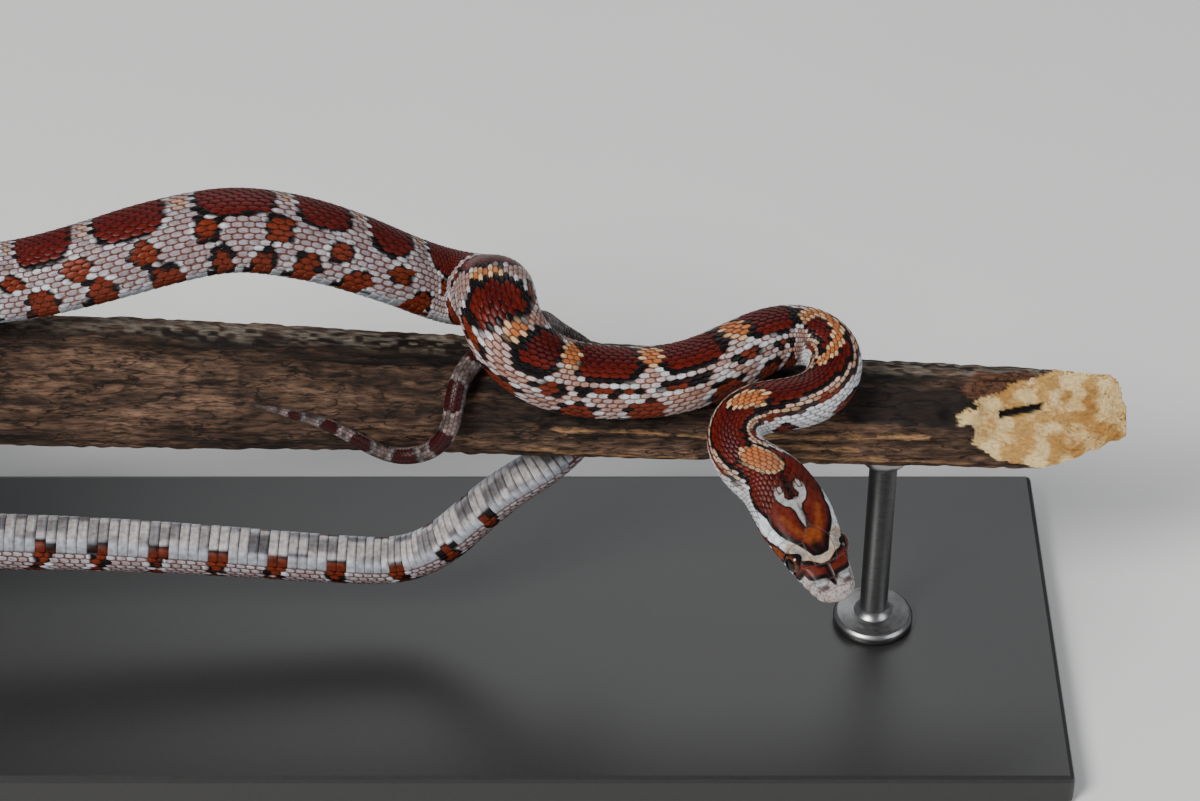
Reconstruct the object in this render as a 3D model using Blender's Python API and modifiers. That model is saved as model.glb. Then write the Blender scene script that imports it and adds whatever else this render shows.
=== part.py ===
"""Corn snake on a cut length of branch, a life-size still model on a plain display stand.

Metres, +Z up. The origin is the middle of the underside of the base. The branch runs along X,
the head hangs off its -Y side, and the tail goes once over it under the body's first loop.
"""
import math

import bmesh
import bpy
import numpy as np
from mathutils import Matrix, Vector

MM = 0.001
GAP = 0.0003                      # clearance between pieces that touch

# Branch: a round length that thins to the right, where it is broken off aslant
BRANCH_ZERO = (0.070, 0.0, 0.073)  # the point of its axis that the route below is measured from
BRANCH_LEFT = -0.236
BRANCH_RIGHT = 0.1165
BRANCH_RADIUS = 0.0132
BRANCH_TAPER = 0.0165             # loss of radius for each metre to the right
BRANCH_SLOPE = 0.05               # drop for each metre to the right
BRANCH_DENTS = 0.055              # deepest hollow, as a share of the radius
BRANCH_SIDES = 20
BRANCH_RINGS = 44
BREAK_FROM = 0.0760               # where the slanting break starts on the viewer's side
BREAK_TO = 0.1150                 # and where it ends on the far side
BREAK_FACES = 50.0                # degrees from the top towards the viewer

# Display stand
BASE_SIZE = (0.346, 0.100, 0.008)
BASE_EDGE = 0.0012
ROD_RADIUS = 0.0031
ROD_FOOT = (0.0090, 0.0024)       # radius and height
ROD_COLLAR = (0.0052, 0.0022)
ROD_PLACES = {"left": -0.2285, "right": 0.0620}
ROD_SEAT = 0.0018                 # depth of the flat under the branch that a rod carries

# Snake
HEAD_LENGTH = 0.0305
EYE_RADIUS = 0.00205
EYE_BACK = 0.0106                 # from the tip of the snout
EYE_OUT = 0.00480
EYE_UP = 0.00125
NOSTRIL = (0.0022, 0.00052)       # distance from the tip of the snout, and radius
MOUTH_BACK = 0.0212
MOUTH_DEPTH = 0.00055
MOUTH_HEIGHT = 0.00024
BODY_SIDES = 16
HEAD_SIDES = 28
RING_STEP = 0.0047                # between the body's rings
NECK_STEP = 0.0034                # and where the neck bends sharply
NECK_END = 0.105
BACK_HEIGHT = 0.92                # height of the back over half the width
BELLY_DEPTH = 0.82
BELLY_SQUARE = 2.6

# Way of the body. Each row: mm along the branch, degrees round it (0 on top, 90 towards the
# viewer), mm from its axis, degrees that the back faces, and its lean to the right.
HEAD_AND_LOOPS = [
    (48.4, 87.3, 62.5, 17, 4),
    (41.6, 81.3, 49.8, 17, 4),
    (35.1, 72.8, 38.3, 19, 5),
    (30.2, 70.4, 34.8, 30, 0),
    (27.8, 66.6, 32.5, 36, -10),
    (27.2, 60.8, 30.0, 34, -18),
    (28.8, 54.7, 28.1, 29, -12),
    (32.0, 50.7, 27.0, 26, -4),
    (40.0, 48.0, 25.2, 28, -4),
    (46.2, 42.0, 22.8, 24, 4),
    (49.2, 30.0, 20.9, 22, 9),
    (49.6, 14.8, 20.0, 18, 12),
    (47.2, 1.8, 19.6, 16, 8),
    (42.0, -4.2, 19.6, 14, 2),
    (36.0, 1.8, 19.5, 14, 0),
    (28.4, 17.2, 19.8, 14, 0),
    (19.3, 32.0, 20.4, 14, 0),
    (10.4, 38.0, 20.8, 14, 0),
    (1.0, 39.5, 21.6, 14, 0),
    (-8.1, 37.8, 23.2, 16, -6),
    (-15.4, 31.2, 26.4, 16, -12),
    (-20.0, 20.4, 28.9, 12, -12),
    (-21.6, 6.0, 28.9, 6, -8),
    (-22.3, -8.0, 26.1, 0, 0),
    (-23.4, -21.0, 23.6, -6, 2),
    (-26.0, -33.5, 22.6, -10, 0),
    (-31.2, -41.0, 23.0, -10, 0),
    (-37.8, -39.0, 24.6, -8, 0),
    (-45.0, -30.5, 27.4, -4, 0),
    (-54.0, -23.0, 31.3, -2, 0),
    (-64.0, -17.0, 34.8, -2, 0),
    (-77.0, -11.5, 37.3, -2, 0),
    (-92.0, -7.5, 34.8, 0, 0),
    (-106.0, -4.0, 30.6, 0, 0),
    (-120.0, -1.0, 26.8, 0, 0),
    (-135.0, 6.0, 25.9, 4, 0),
]
WRAP_FROM = (-149.0, 24.0)        # mm along the branch and degrees round it
WRAP_TO = (-210.0, 448.0)
WRAP_POINTS = 10
WRAP_CLEARANCE = 8.8              # mm from the branch's surface to the middle of the body
SWAG_AND_TAIL = [
    (-206.0, 490, 31.0, 480, 0),
    (-189.0, 520, 40.0, 505, 0),
    (-168.0, 533, 45.5, 525, 0),
    (-142.0, 537, 46.0, 535, 0),
    (-115.0, 539, 46.8, 540, 0),
    (-90.0, 540, 48.0, 544, 0),
    (-68.0, 540, 49.0, 548, 0),
    (-56.4, 540, 49.4, 550, 0),
    (-47.4, 540, 49.3, 552, 0),
    (-40.6, 540, 47.2, 554, 0),
    (-34.5, 540, 42.5, 556, 0),
    (-29.2, 540, 36.4, 558, 0),
    (-24.0, 540, 30.2, 560, 0),
    (-18.6, 540, 24.8, 562, 0),
    (-13.0, 543, 21.0, 566, 0),
    (-7.5, 556, 19.5, 576, 0),
    (-2.5, 575, 19.0, 590, 0),
    (0.2, 594, 18.6, 604, 0),
    (-0.8, 611, 17.9, 616, 0),
    (-3.4, 625, 17.4, 626, 0),
    (-6.8, 636, 17.0, 635, 0),
    (-10.0, 648, 16.8, 650, 0),
    (-12.0, 664, 16.6, 668, 0),
    (-12.9, 684, 16.6, 688, 0),
    (-14.4, 702, 16.5, 706, 0),
    (-17.9, 719, 16.5, 722, 0),
    (-22.7, 732, 16.5, 733, 0),
    (-26.8, 743, 16.5, 743, 0),
    (-29.5, 757, 16.4, 757, 0),
    (-30.5, 774, 16.4, 772, 0),
    (-31.0, 790, 16.3, 786, 0),
    (-32.4, 805, 16.2, 798, 0),
    (-35.2, 817, 16.1, 805, 0),
    (-38.8, 826, 16.0, 811, 0),
    (-43.0, 829, 16.0, 814, 0),
    (-47.8, 820, 15.9, 810, 0),
    (-52.8, 806, 15.9, 800, 0),
    (-58.0, 796, 15.7, 793, 0),
    (-63.8, 791, 15.5, 789, 0),
    (-74.2, 783, 15.2, 785, 0),
]
SOFTEN = 3.0                      # mm, rounds the way at its points

# Half the body's width, in mm, at mm from the tip of the snout
GIRTH = [
    (30, 7.1), (34, 6.5), (39, 5.9), (48, 5.5), (63, 5.5), (79, 5.9), (95, 7.0), (120, 7.6),
    (150, 8.1), (165, 8.5), (205, 8.6), (228, 9.4), (262, 9.5), (290, 8.8), (340, 9.3), (398, 9.4),
    (496, 8.6),
    (584, 7.1), (655, 5.9), (708, 5.3), (735, 4.9), (761, 4.2), (792, 3.1), (820, 2.35),
    (850, 1.9), (868, 1.4), (882, 0.8), (887, 0.3),
]

# Lengths that the body is parted into: name, and where it ends in mm from the tip of the snout
LENGTHS = [
    ("neck", 66),
    ("neck_bend", 104),
    ("body_front", 150),
    ("body_crossing", 197),
    ("body_arch_right", 240),
    ("body_arch_left", 292),
    ("body_wrap_top", 338),
    ("body_wrap_under", 386),
    ("body_wrap_back", 434),
    ("body_wrap_left", 482),
    ("body_drop", 532),
    ("body_swag_left", 600),
    ("body_swag_right", 668),
    ("body_rise", 716),
    ("body_vent", 752),
    ("tail_root", 796),
    ("tail_crossing", 832),
    ("tail_tip", None),
]

# Half width, height of the crown, depth of the jaw and squareness of the crown, in mm, at mm
# from the tip of the snout
HEAD_SHAPE = [
    (0.00, 1.85, 0.80, 1.05, 2.2),
    (0.35, 2.80, 1.30, 1.60, 2.3),
    (1.00, 3.55, 1.80, 2.15, 2.4),
    (2.20, 4.25, 2.30, 2.70, 2.5),
    (4.50, 5.00, 2.95, 3.15, 2.5),
    (7.50, 5.75, 3.60, 3.45, 2.6),
    (10.6, 6.35, 4.25, 3.75, 2.7),
    (14.0, 6.95, 4.75, 4.05, 2.6),
    (18.0, 7.65, 5.10, 4.45, 2.4),
    (21.5, 7.90, 5.35, 4.80, 2.3),
    (25.5, 7.60, 5.85, 5.15, 2.1),
    (30.5, 7.05, 6.49, 5.78, 2.0),
]
HEAD_RINGS = (0.0, 0.3, 0.8, 1.5, 2.4, 3.5, 4.8, 6.2, 7.6, 8.8, 9.8, 10.8, 11.8, 13.0, 14.5, 16.3,
              18.2, 20.2, 22.3, 24.4, 26.5, 28.5, 30.35)
BROW = (10.4, 50.0, 0.42)         # mm back, degrees from the crown, mm proud
CHEEK = (6.2, 74.0, -0.30)        # the hollow between nostril and eye
MOUTH_LINE = [(0.0, -0.85), (2.0, -1.45), (6.0, -1.75), (12.0, -1.85), (17.0, -1.45), (21.2, -0.55)]

COLOURS = {
    "scales_red": ((0.33, 0.060, 0.028), 0.42),
    "scales_grey": ((0.52, 0.44, 0.42), 0.45),
    "scales_tail": ((0.20, 0.060, 0.045), 0.50),
    "eye": ((0.30, 0.080, 0.020), 0.05),
    "bark": ((0.125, 0.075, 0.050), 0.85),
    "stand_lacquer": ((0.018, 0.018, 0.020), 0.38),
    "stand_steel": ((0.32, 0.32, 0.33), 0.30),
}


def material(name):
    found = bpy.data.materials.get(name)
    if found:
        return found
    colour, roughness = COLOURS[name]
    made = bpy.data.materials.new(name)
    made.use_nodes = True
    shader = made.node_tree.nodes["Principled BSDF"]
    shader.inputs["Base Color"].default_value = (*colour, 1.0)
    shader.inputs["Roughness"].default_value = roughness
    shader.inputs["Metallic"].default_value = 1.0 if name == "stand_steel" else 0.0
    return made


def new_object(name, mesh, collection, material_name=None):
    obj = bpy.data.objects.new(name, mesh)
    collection.objects.link(obj)
    if material_name:
        mesh.materials.append(material(material_name))
    return obj


def loft(name, rings, collection, material_name=None):
    """Closed solid through rings of points, with a flat cap at each end."""
    bm = bmesh.new()
    loops = [[bm.verts.new(point) for point in ring] for ring in rings]
    count = len(loops[0])
    for near, far in zip(loops, loops[1:]):
        for k in range(count):
            bm.faces.new((near[k], near[(k + 1) % count], far[(k + 1) % count], far[k]))
    bm.faces.new(list(reversed(loops[0])))
    bm.faces.new(loops[-1])
    bmesh.ops.recalc_face_normals(bm, faces=bm.faces)
    mesh = bpy.data.meshes.new(name)
    bm.to_mesh(mesh)
    bm.free()
    mesh.shade_smooth()
    mesh.set_sharp_from_angle(angle=math.radians(50))
    return new_object(name, mesh, collection, material_name)


def cutter(obj):
    obj.hide_render = True
    obj.display_type = 'WIRE'
    return obj


def cut(obj, tool, solver='EXACT'):
    modifier = obj.modifiers.new("cut by " + tool.name, 'BOOLEAN')
    modifier.operation = 'DIFFERENCE'
    modifier.solver = solver
    modifier.object = tool


def box(name, size, matrix, collection, material_name=None):
    bm = bmesh.new()
    bmesh.ops.create_cube(bm, size=1.0)
    bmesh.ops.scale(bm, vec=size, verts=bm.verts)
    mesh = bpy.data.meshes.new(name)
    bm.to_mesh(mesh)
    bm.free()
    obj = new_object(name, mesh, collection, material_name)
    obj.matrix_world = matrix
    return obj


def ball(name, radius, matrix, collection, material_name=None, segments=16, rings=12):
    bm = bmesh.new()
    bmesh.ops.create_uvsphere(bm, u_segments=segments, v_segments=rings, radius=radius)
    mesh = bpy.data.meshes.new(name)
    bm.to_mesh(mesh)
    bm.free()
    mesh.shade_smooth()
    obj = new_object(name, mesh, collection, material_name)
    obj.matrix_world = matrix
    return obj


def unit(vectors):
    return vectors / np.linalg.norm(vectors, axis=-1, keepdims=True)


def branch_radius(along):
    return BRANCH_RADIUS - BRANCH_TAPER * along


def branch_axis(along):
    return np.array(BRANCH_ZERO) + np.array([along, 0.0, -BRANCH_SLOPE * along])


def branch_point(along, degrees, out):
    """A point at a distance from the branch's axis; 0 degrees is on top, 90 is nearest the viewer."""
    turn = math.radians(degrees)
    return branch_axis(along) + out * np.array([0.0, -math.sin(turn), math.cos(turn)])


def back_vector(degrees, lean):
    turn, side = math.radians(degrees), math.radians(lean)
    return np.array([math.sin(side), -math.sin(turn) * math.cos(side), math.cos(turn) * math.cos(side)])


def wrap_rows():
    """One turn and a little more round the branch, at an even pitch."""
    rows = []
    for k in range(WRAP_POINTS):
        share = k / (WRAP_POINTS - 1)
        along = WRAP_FROM[0] + (WRAP_TO[0] - WRAP_FROM[0]) * share
        degrees = WRAP_FROM[1] + (WRAP_TO[1] - WRAP_FROM[1]) * share
        out = branch_radius(along * MM) / MM + WRAP_CLEARANCE
        rows.append((along, degrees, out, degrees, 0.0))
    return rows


def through_points(rows, pieces=24):
    """Smooth curve through the rows: Catmull-Rom, with its pace set by the root of each span."""
    rows = np.vstack([2 * rows[0] - rows[1], rows, 2 * rows[-1] - rows[-2]])
    share = (np.arange(pieces) / pieces)[:, None]
    curve = []
    for p0, p1, p2, p3 in zip(rows, rows[1:], rows[2:], rows[3:]):
        d0, d1, d2 = (np.linalg.norm(b[:3] - a[:3]) ** 0.5 for a, b in ((p0, p1), (p1, p2), (p2, p3)))
        out = d1 * ((p1 - p0) / d0 - (p2 - p0) / (d0 + d1) + (p2 - p1) / d1)
        into = d1 * ((p2 - p1) / d1 - (p3 - p1) / (d1 + d2) + (p3 - p2) / d2)
        u, u2, u3 = share, share ** 2, share ** 3
        curve.append((2 * u3 - 3 * u2 + 1) * p1 + (u3 - 2 * u2 + u) * out
                     + (3 * u2 - 2 * u3) * p2 + (u3 - u2) * into)
    return np.vstack(curve + [rows[-2:-1]])


def even_steps(curve, step):
    travelled = np.concatenate([[0.0], np.cumsum(np.linalg.norm(np.diff(curve[:, :3], axis=0), axis=1))])
    marks = np.arange(0.0, travelled[-1], step)
    return np.stack([np.interp(marks, travelled, column) for column in curve.T], axis=1)


def softened(values, width):
    """Weighted running mean that keeps both ends in place."""
    reach = int(3 * width)
    weights = np.exp(-0.5 * (np.arange(-reach, reach + 1) / width) ** 2)
    weights /= weights.sum()
    ends = (2 * values[0] - values[reach:0:-1], 2 * values[-1] - values[-2:-reach - 2:-1])
    padded = np.concatenate([ends[0], values, ends[1]])
    return np.stack([np.convolve(column, weights, "valid") for column in padded.T], axis=1)


class Body:
    """The middle line of the snake, with its back and side directions and its half width."""

    def __init__(self):
        rows = HEAD_AND_LOOPS + wrap_rows() + SWAG_AND_TAIL
        points = [np.concatenate([branch_point(a * MM, d, o * MM), back_vector(b, lean)])
                  for a, d, o, b, lean in rows]
        curve = softened(even_steps(through_points(np.array(points)), MM), SOFTEN)
        curve = even_steps(curve, MM)
        self.centres = curve[:, :3]
        self.along = np.arange(len(curve)) * MM
        self.total = self.along[-1]
        self.forward = unit(np.gradient(self.centres, axis=0))
        back = curve[:, 3:]
        back = back - (back * self.forward).sum(axis=1, keepdims=True) * self.forward
        self.back = unit(back)
        at, width = (np.array(column) * MM for column in zip(*GIRTH))
        widths = np.interp(self.along, at, width)[:, None]
        self.widths = softened(widths, SOFTEN)[:, 0]

    def frame(self, distance):
        """Centre, direction towards the tail, back and right-hand side at a distance from the snout."""
        def at(values):
            return np.array([np.interp(distance, self.along, column) for column in values.T])
        forward = unit(at(self.forward))
        back = at(self.back)
        back = unit(back - back.dot(forward) * forward)
        return at(self.centres), forward, back, np.cross(forward, back)

    def ring(self, distance):
        centre, _, back, side = self.frame(distance)
        half = np.interp(distance, self.along, self.widths)
        turns = np.arange(BODY_SIDES) * 2 * math.pi / BODY_SIDES
        return [Vector(centre + half * (across * side + up * back)) for across, up in map(section, turns)]


def section(turn):
    """Round back and flatter belly; the turn is counted from the middle of the back."""
    across, up = math.sin(turn), math.cos(turn)
    if up >= -1e-9:
        return across, BACK_HEIGHT * up
    power = 2.0 / BELLY_SQUARE
    return math.copysign(abs(across) ** power, across), -BELLY_DEPTH * abs(up) ** power


def along_table(table, at, column):
    """Value of a column of a small table at a place, eased through its rows."""
    places = [row[0] for row in table]
    values = [row[column] for row in table]
    k = min(max(int(np.searchsorted(places, at)) - 1, 0), len(places) - 2)
    slopes = np.gradient(values, places)
    span = places[k + 1] - places[k]
    u = (at - places[k]) / span
    return ((2 * u ** 3 - 3 * u ** 2 + 1) * values[k] + (u ** 3 - 2 * u ** 2 + u) * span * slopes[k]
            + (3 * u ** 2 - 2 * u ** 3) * values[k + 1] + (u ** 3 - u ** 2) * span * slopes[k + 1])


def swell(place, at, turn, reach=3.0, spread=16.0):
    """How far a rounded swelling of the head lifts the skin at a place."""
    back, degrees, proud = place
    apart = abs(math.degrees(turn)) - degrees
    return proud * math.exp(-((at - back) / reach) ** 2 - (apart / spread) ** 2)


def head_point(at, turn):
    """Skin of the head: mm back from the tip of the snout, and the turn from the crown."""
    half, crown, jaw, square = (along_table(HEAD_SHAPE, at, column) for column in (1, 2, 3, 4))
    across, up = math.sin(turn), math.cos(turn)
    joint = min(max((at - 22.0) / 8.5, 0.0), 1.0)
    power = 2.0 / (square if up >= 0 else 2.3 + (BELLY_SQUARE - 2.3) * joint)
    x = half * math.copysign(abs(across) ** power, across)
    z = (crown if up >= 0 else jaw) * math.copysign(abs(up) ** power, up)
    lift = swell(BROW, at, turn) + swell(CHEEK, at, turn, reach=2.4)
    length = max(math.hypot(x, z), 1e-6)
    return Vector((x * (1 + lift / length), -at, z * (1 + lift / length))) * MM


def head_matrix(body):
    """Own axes of the head: +Y out of the snout, +Z out of the crown, the tip of the snout at zero."""
    centre, forward, back, side = body.frame(EYE_BACK)
    snout = centre - forward * EYE_BACK
    matrix = Matrix.Identity(4)
    for row in range(3):
        matrix[row][0], matrix[row][1], matrix[row][2] = -side[row], -forward[row], back[row]
        matrix[row][3] = snout[row]
    return matrix


def on_head(body, point):
    """Sets a point given in the head's own axes on the snake's middle line, which bends at the nape."""
    centre, forward, back, side = body.frame(max(-point.y, 0.0))
    return Vector(centre - forward * max(point.y, 0.0) - side * point.x + back * point.z)


def mouth_point(at, sign, outward):
    """A point of the mouth line, outward from the skin."""
    level = along_table(MOUTH_LINE, at, 1)
    half, jaw = along_table(HEAD_SHAPE, at, 1), along_table(HEAD_SHAPE, at, 3)
    square = 2.3
    across = half * max(1.0 - min(abs(level) / jaw, 0.999) ** square, 0.0) ** (1.0 / square)
    return Vector((sign * (across + outward / MM), -at, level)) * MM


def mouth_cutter(body, collection):
    """A thin band that follows the mouth line from one corner, round the snout, to the other."""
    places = list(np.linspace(MOUTH_BACK / MM, 1.0, 16)) + [0.45, 0.12]
    way = [(at, 1.0) for at in places] + [(at, -1.0) for at in reversed(places)]
    rings = []
    for at, sign in way:
        outer, inner = mouth_point(at, sign, MOUTH_DEPTH), mouth_point(at, sign, -MOUTH_DEPTH)
        if at < 1.0:
            ahead = (1.0 - at) * MOUTH_DEPTH
            outer.y += ahead + MOUTH_DEPTH
            inner.y -= MOUTH_DEPTH * 0.6
        rise = Vector((0.0, 0.0, MOUTH_HEIGHT))
        ring = [outer + rise, outer - rise, inner - rise * 0.4, inner + rise * 0.4]
        rings.append([on_head(body, point) for point in ring])
    return cutter(loft("mouth_cutter", rings, collection))


def build_head(body, parts, cutters):
    matrix = head_matrix(body)
    turns = np.arange(HEAD_SIDES) * 2 * math.pi / HEAD_SIDES
    rings = [[on_head(body, head_point(at, turn)) for turn in turns] for at in HEAD_RINGS]
    head = loft("head", rings, parts, "scales_red")
    cut(head, mouth_cutter(body, cutters))
    for side, sign in (("left", -1), ("right", 1)):
        place = matrix @ Matrix.Translation((sign * EYE_OUT, -EYE_BACK, EYE_UP))
        socket = cutter(ball("eye_socket_" + side, EYE_RADIUS + GAP, place, cutters))
        cut(head, socket)
        ball("eye_" + side, EYE_RADIUS, place, parts, "eye")
        back, radius = NOSTRIL
        skin = head_point(back / MM, math.radians(62) * sign)
        hole = Matrix.Translation(on_head(body, skin))
        cut(head, cutter(ball("nostril_" + side, radius, hole, cutters, segments=10, rings=6)))


def build_lengths(body, parts):
    start = HEAD_LENGTH
    for name, end_mm in LENGTHS:
        end = body.total - 0.0004 if end_mm is None else end_mm * MM
        first = start + GAP / 2
        last = end if end_mm is None else end - GAP / 2
        step = NECK_STEP if end < NECK_END else RING_STEP
        count = max(2, round((last - first) / step))
        rings = [body.ring(distance) for distance in np.linspace(first, last, count + 1)]
        colour = "scales_tail" if name.startswith("tail") else "scales_grey"
        loft(name, rings, parts, colour)
        start = end


def bark_share(along, turn):
    """Share of the full radius that the weathered wood keeps; it is never over 1."""
    waves = (math.sin(3 * turn + 24 * along + 1.3) + 0.7 * math.sin(5 * turn - 41 * along)
             + 0.6 * math.sin(2 * turn + 83 * along + 0.6) + 0.4 * math.sin(9 * turn + 12 * along))
    return 1.0 - BRANCH_DENTS * (0.5 + 0.5 * waves / 2.7)


def build_branch(parts, cutters):
    rings = []
    for along in np.linspace(BRANCH_LEFT, BRANCH_RIGHT, BRANCH_RINGS):
        ring = []
        for k in range(BRANCH_SIDES):
            turn = 2 * math.pi * k / BRANCH_SIDES
            out = branch_radius(along) * bark_share(along, turn)
            ring.append(Vector(branch_point(along, math.degrees(turn), out)))
        rings.append(ring)
    branch = loft("branch", rings, parts, "bark")

    middle = (BREAK_FROM + BREAK_TO) / 2
    radius = branch_radius(middle)
    turn = math.radians(BREAK_FACES)
    towards_viewer = Vector((0.0, -math.sin(turn), math.cos(turn)))
    along_cut = (Vector((BREAK_TO - BREAK_FROM, 0.0, 0.0)) - towards_viewer * 2 * radius).normalized()
    across = Vector((1.0, 0.0, 0.0)).cross(towards_viewer)
    normal = along_cut.cross(across)
    if normal.dot(towards_viewer) < 0:
        normal, across = -normal, -across
    size = 0.09
    centre = Vector(branch_axis(middle)) + normal * size / 2
    turned = Matrix((along_cut, across, normal)).transposed().to_4x4()
    chop = box("break_cutter", (size, size, size), Matrix.Translation(centre) @ turned, cutters)
    cut(branch, cutter(chop))

    for side, along in ROD_PLACES.items():
        width = 4 * ROD_COLLAR[0]
        top = seat_height(along)
        place = Vector((branch_axis(along)[0], 0.0, top - width / 2))
        seat = box("seat_cutter_" + side, (width, width * 2, width), Matrix.Translation(place), cutters)
        cut(branch, cutter(seat))


def seat_height(along):
    """Level of the flat under the branch that the rod's collar carries."""
    return float(branch_axis(along)[2]) - branch_radius(along) + ROD_SEAT


def build_stand(parts):
    base = box("stand_base", BASE_SIZE, Matrix.Translation((0.0, 0.0, BASE_SIZE[2] / 2)), parts,
               "stand_lacquer")
    edge = base.modifiers.new("rounded edge", 'BEVEL')
    edge.width = BASE_EDGE
    edge.segments = 2
    for side, along in ROD_PLACES.items():
        bottom = BASE_SIZE[2] + GAP
        top = seat_height(along) - GAP
        build_rod("stand_rod_" + side, float(branch_axis(along)[0]), bottom, top, parts)


def build_rod(name, x, bottom, top, parts):
    """Turned rod: a foot, the shaft and a collar under the branch."""
    height = top - bottom
    foot_radius, foot_height = ROD_FOOT
    collar_radius, collar_height = ROD_COLLAR
    profile = [
        (0.0, height), (collar_radius, height), (collar_radius, height - collar_height),
        (ROD_RADIUS, height - collar_height - 0.0020), (ROD_RADIUS, foot_height + 0.0018),
        (ROD_RADIUS + 0.0012, foot_height + 0.0004), (foot_radius - 0.0008, foot_height),
        (foot_radius, foot_height - 0.0008), (foot_radius, 0.0), (0.0, 0.0),
    ]
    bm = bmesh.new()
    verts = [bm.verts.new((radius, 0.0, z)) for radius, z in profile]
    for a, b in zip(verts, verts[1:]):
        bm.edges.new((a, b))
    mesh = bpy.data.meshes.new(name)
    bm.to_mesh(mesh)
    bm.free()
    rod = new_object(name, mesh, parts, "stand_steel")
    rod.location = (x, 0.0, bottom)
    turn = rod.modifiers.new("turned", 'SCREW')
    turn.steps = 24
    turn.render_steps = 24
    turn.use_merge_vertices = True
    turn.merge_threshold = 0.00001


def clear_scene():
    for obj in list(bpy.data.objects):
        bpy.data.objects.remove(obj, do_unlink=True)


def new_collection(name):
    made = bpy.data.collections.new(name)
    bpy.context.scene.collection.children.link(made)
    return made


def main():
    clear_scene()
    parts = new_collection("Corn snake")
    cutters = new_collection("Cutters")
    body = Body()
    build_head(body, parts, cutters)
    build_lengths(body, parts)
    build_branch(parts, cutters)
    build_stand(parts)


main()
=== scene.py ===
"""Looks of the corn snake model: skin, scales, head shields, eyes, perch and stand.

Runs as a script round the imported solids, which it loads as a fixed frame. Lengths on the snake
are in millimetres from the tip of its snout, and turns are in degrees from the middle of its
back, positive towards its left flank as the route lays it out. Meshes are in metres.
"""
import math

import bpy
import numpy as np
from bpy.props import FloatProperty, FloatVectorProperty, IntProperty, PointerProperty
from mathutils import Matrix, Vector


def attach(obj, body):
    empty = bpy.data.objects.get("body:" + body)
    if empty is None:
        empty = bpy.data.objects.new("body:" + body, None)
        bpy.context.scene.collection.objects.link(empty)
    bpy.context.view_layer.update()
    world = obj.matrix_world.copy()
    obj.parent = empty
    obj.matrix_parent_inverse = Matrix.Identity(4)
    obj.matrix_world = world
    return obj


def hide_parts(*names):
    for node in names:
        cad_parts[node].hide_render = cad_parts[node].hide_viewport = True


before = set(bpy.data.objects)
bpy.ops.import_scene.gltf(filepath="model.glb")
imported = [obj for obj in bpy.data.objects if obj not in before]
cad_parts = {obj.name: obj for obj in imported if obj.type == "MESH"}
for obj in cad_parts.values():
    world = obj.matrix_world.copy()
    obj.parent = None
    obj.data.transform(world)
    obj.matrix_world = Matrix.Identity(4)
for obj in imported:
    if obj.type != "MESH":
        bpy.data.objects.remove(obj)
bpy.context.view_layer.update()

bl_info = {
    "name": "Corn snake model",
    "version": (1, 0, 0),
    "blender": (4, 5, 0),
    "location": "3D View > Sidebar > Snake",
    "description": "Skin, scales, head shields, eyes, perch and stand of a life-size corn snake",
    "category": "Object",
}

MM = 0.001
SEED = 7

# Solids of flesh that the skin stands for
FLESH = [
    "head", "neck", "neck_bend", "body_front", "body_crossing", "body_arch_right", "body_arch_left",
    "body_wrap_top", "body_wrap_under", "body_wrap_back", "body_wrap_left", "body_drop",
    "body_swag_left", "body_swag_right", "body_rise", "body_vent", "tail_root", "tail_crossing",
    "tail_tip",
]

# Branch, as in the part's source
BRANCH_ZERO = (0.070, 0.0, 0.073)
BRANCH_LEFT = -0.236
BRANCH_RIGHT = 0.1165
BRANCH_RADIUS = 0.0132
BRANCH_TAPER = 0.0165
BRANCH_SLOPE = 0.05
BRANCH_DENTS = 0.055
BREAK_FROM = 0.0760
BREAK_TO = 0.1150
BREAK_FACES = 50.0

# Display stand, as in the part's source
BASE_TOP = 0.008
GAP = 0.0003
ROD_RADIUS = 0.0031
ROD_FOOT = (0.0090, 0.0024)
ROD_COLLAR = (0.0052, 0.0022)
ROD_PLACES = {"left": -0.2285, "right": 0.0620}
ROD_SEAT = 0.0018

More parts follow.
